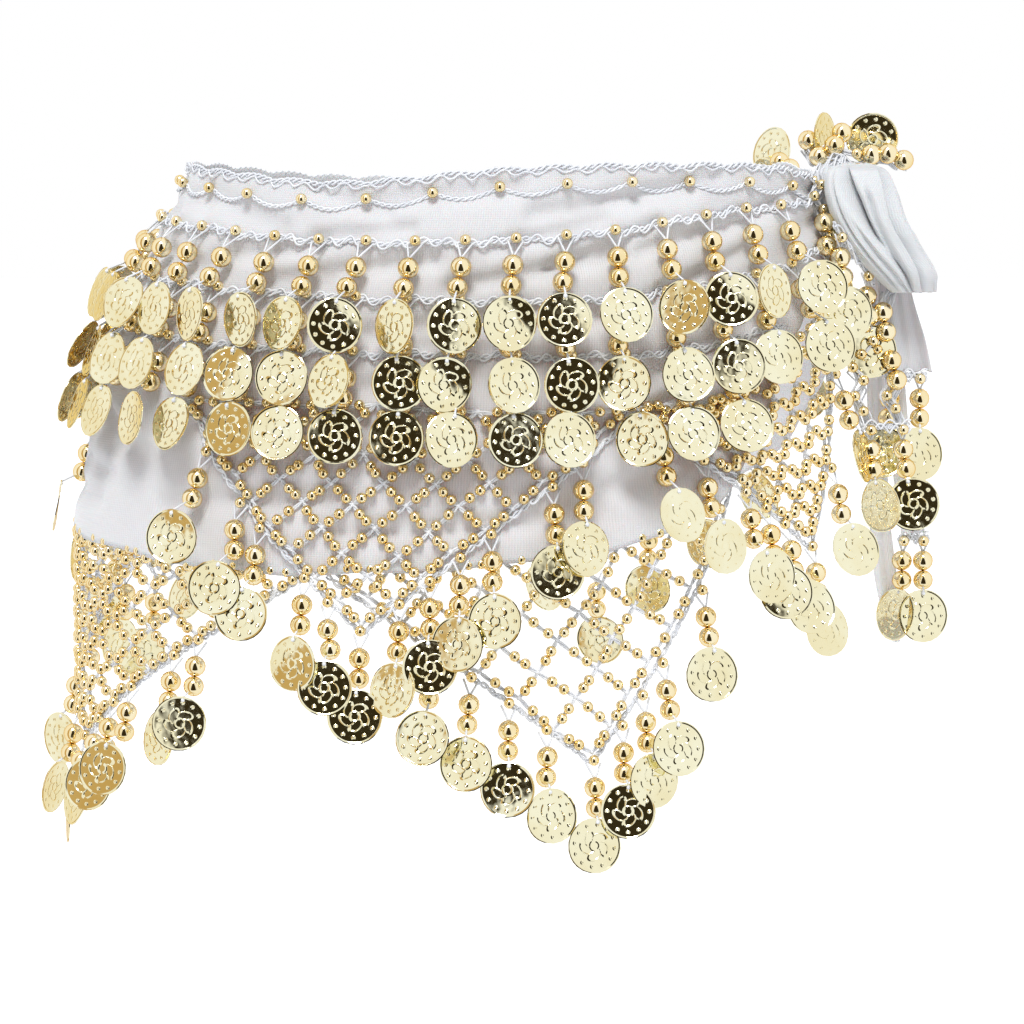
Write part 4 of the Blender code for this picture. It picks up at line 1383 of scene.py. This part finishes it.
WEDGE_SLOPE = 0.32      # the dark wedge narrows from its foot to its tip; sizes at distance 1
WEDGE_TIP = 1.28
WEDGE_FOOT = -0.93
AMBER_LEFT = -3.2
AMBER_RIGHT = -1.1


def add_room():
    """World light: white all round, with a dark wedge round the lens and an amber zone on the left.

    With x and z taken over the distance forward, the wedge is |x| < slope (tip - z), z > foot.
    Cloth is lit from above more than from the sides, by light that is a little cool. The lens
    sees plain white.
    """
    world = bpy.data.worlds.new("studio")
    world.use_nodes = True
    tree = world.node_tree
    background = tree.nodes["Background"]
    split = node(tree, "SeparateXYZ", i0=node(tree, "TexCoord").outputs["Generated"]).outputs
    depth = calc(tree, "MAXIMUM", calc(tree, "MULTIPLY", split["Y"], -1.0), 0.02)
    across = calc(tree, "DIVIDE", split["X"], depth)
    rise = calc(tree, "DIVIDE", split["Z"], depth)
    half = calc(tree, "MULTIPLY", calc(tree, "SUBTRACT", WEDGE_TIP, rise), WEDGE_SLOPE)
    beside = calc(tree, "SUBTRACT", half, calc(tree, "ABSOLUTE", across))
    inside = calc(tree, "MINIMUM", beside, calc(tree, "SUBTRACT", rise, WEDGE_FOOT))
    dark = node(tree, "MapRange", i0=inside, i1=-0.03, i2=0.03).outputs[0]
    before, after = calc(tree, "SUBTRACT", AMBER_RIGHT, across), calc(tree, "SUBTRACT", across, AMBER_LEFT)
    amber = node(tree, "MapRange", i0=calc(tree, "MINIMUM", before, after), i1=-0.05, i2=0.05).outputs[0]
    layers = (1.0, 1.0, 1.0, 1)
    for mask, colour in ((amber, (0.62, 0.42, 0.17, 1)), (dark, (0.035, 0.026, 0.012, 1))):
        layers = mixed(tree, mask, layers, colour)
    path = node(tree, "LightPath").outputs
    for ray, colour in (("Is Diffuse Ray", (0.95, 0.975, 1, 1)), ("Is Camera Ray", (1, 1, 1, 1))):
        layers = mixed(tree, path[ray], layers, colour)
    soft = calc(tree, "ADD", calc(tree, "MULTIPLY", calc(tree, "MAXIMUM", split["Z"], 0.0), 0.90), 0.24)
    strength = node(tree, "Mix", i0=path["Is Diffuse Ray"], i2=1.0, i3=soft).outputs[0]
    tree.links.new(layers, background.inputs["Color"])
    tree.links.new(strength, background.inputs["Strength"])
    bpy.context.scene.world = world


def add_sun(name, place, power, spread):
    """Soft light from far away, in the direction from a place to the origin."""
    lamp = bpy.data.lights.new(name, "SUN")
    lamp.energy = power
    lamp.angle = math.radians(spread)
    holder = bpy.data.objects.new(name, lamp)
    holder.rotation_euler = (-Vector(place)).to_track_quat("-Z", "Y").to_euler()
    bpy.context.collection.objects.link(holder)


def add_camera():
    """Nearly level view of the front, from 2.2 m."""
    target = Vector((0.0045, 0.0, -0.161))
    rise, distance, span = math.radians(5), 2.2, 0.478
    back = Vector((0, -math.cos(rise), math.sin(rise)))
    lens = bpy.data.cameras.new("camera")
    lens.sensor_width = 36
    lens.lens = 36 * distance / span
    camera = bpy.data.objects.new("camera", lens)
    camera.location = target + back * distance
    camera.rotation_euler = (-back).to_track_quat("-Z", "Y").to_euler()
    bpy.context.collection.objects.link(camera)
    bpy.context.scene.camera = camera


add_stage()
add_room()
add_sun("key", (-0.2, -1.6, 2.3), 2.4, 20)
add_camera()
bpy.context.scene.view_settings.view_transform = "Standard"
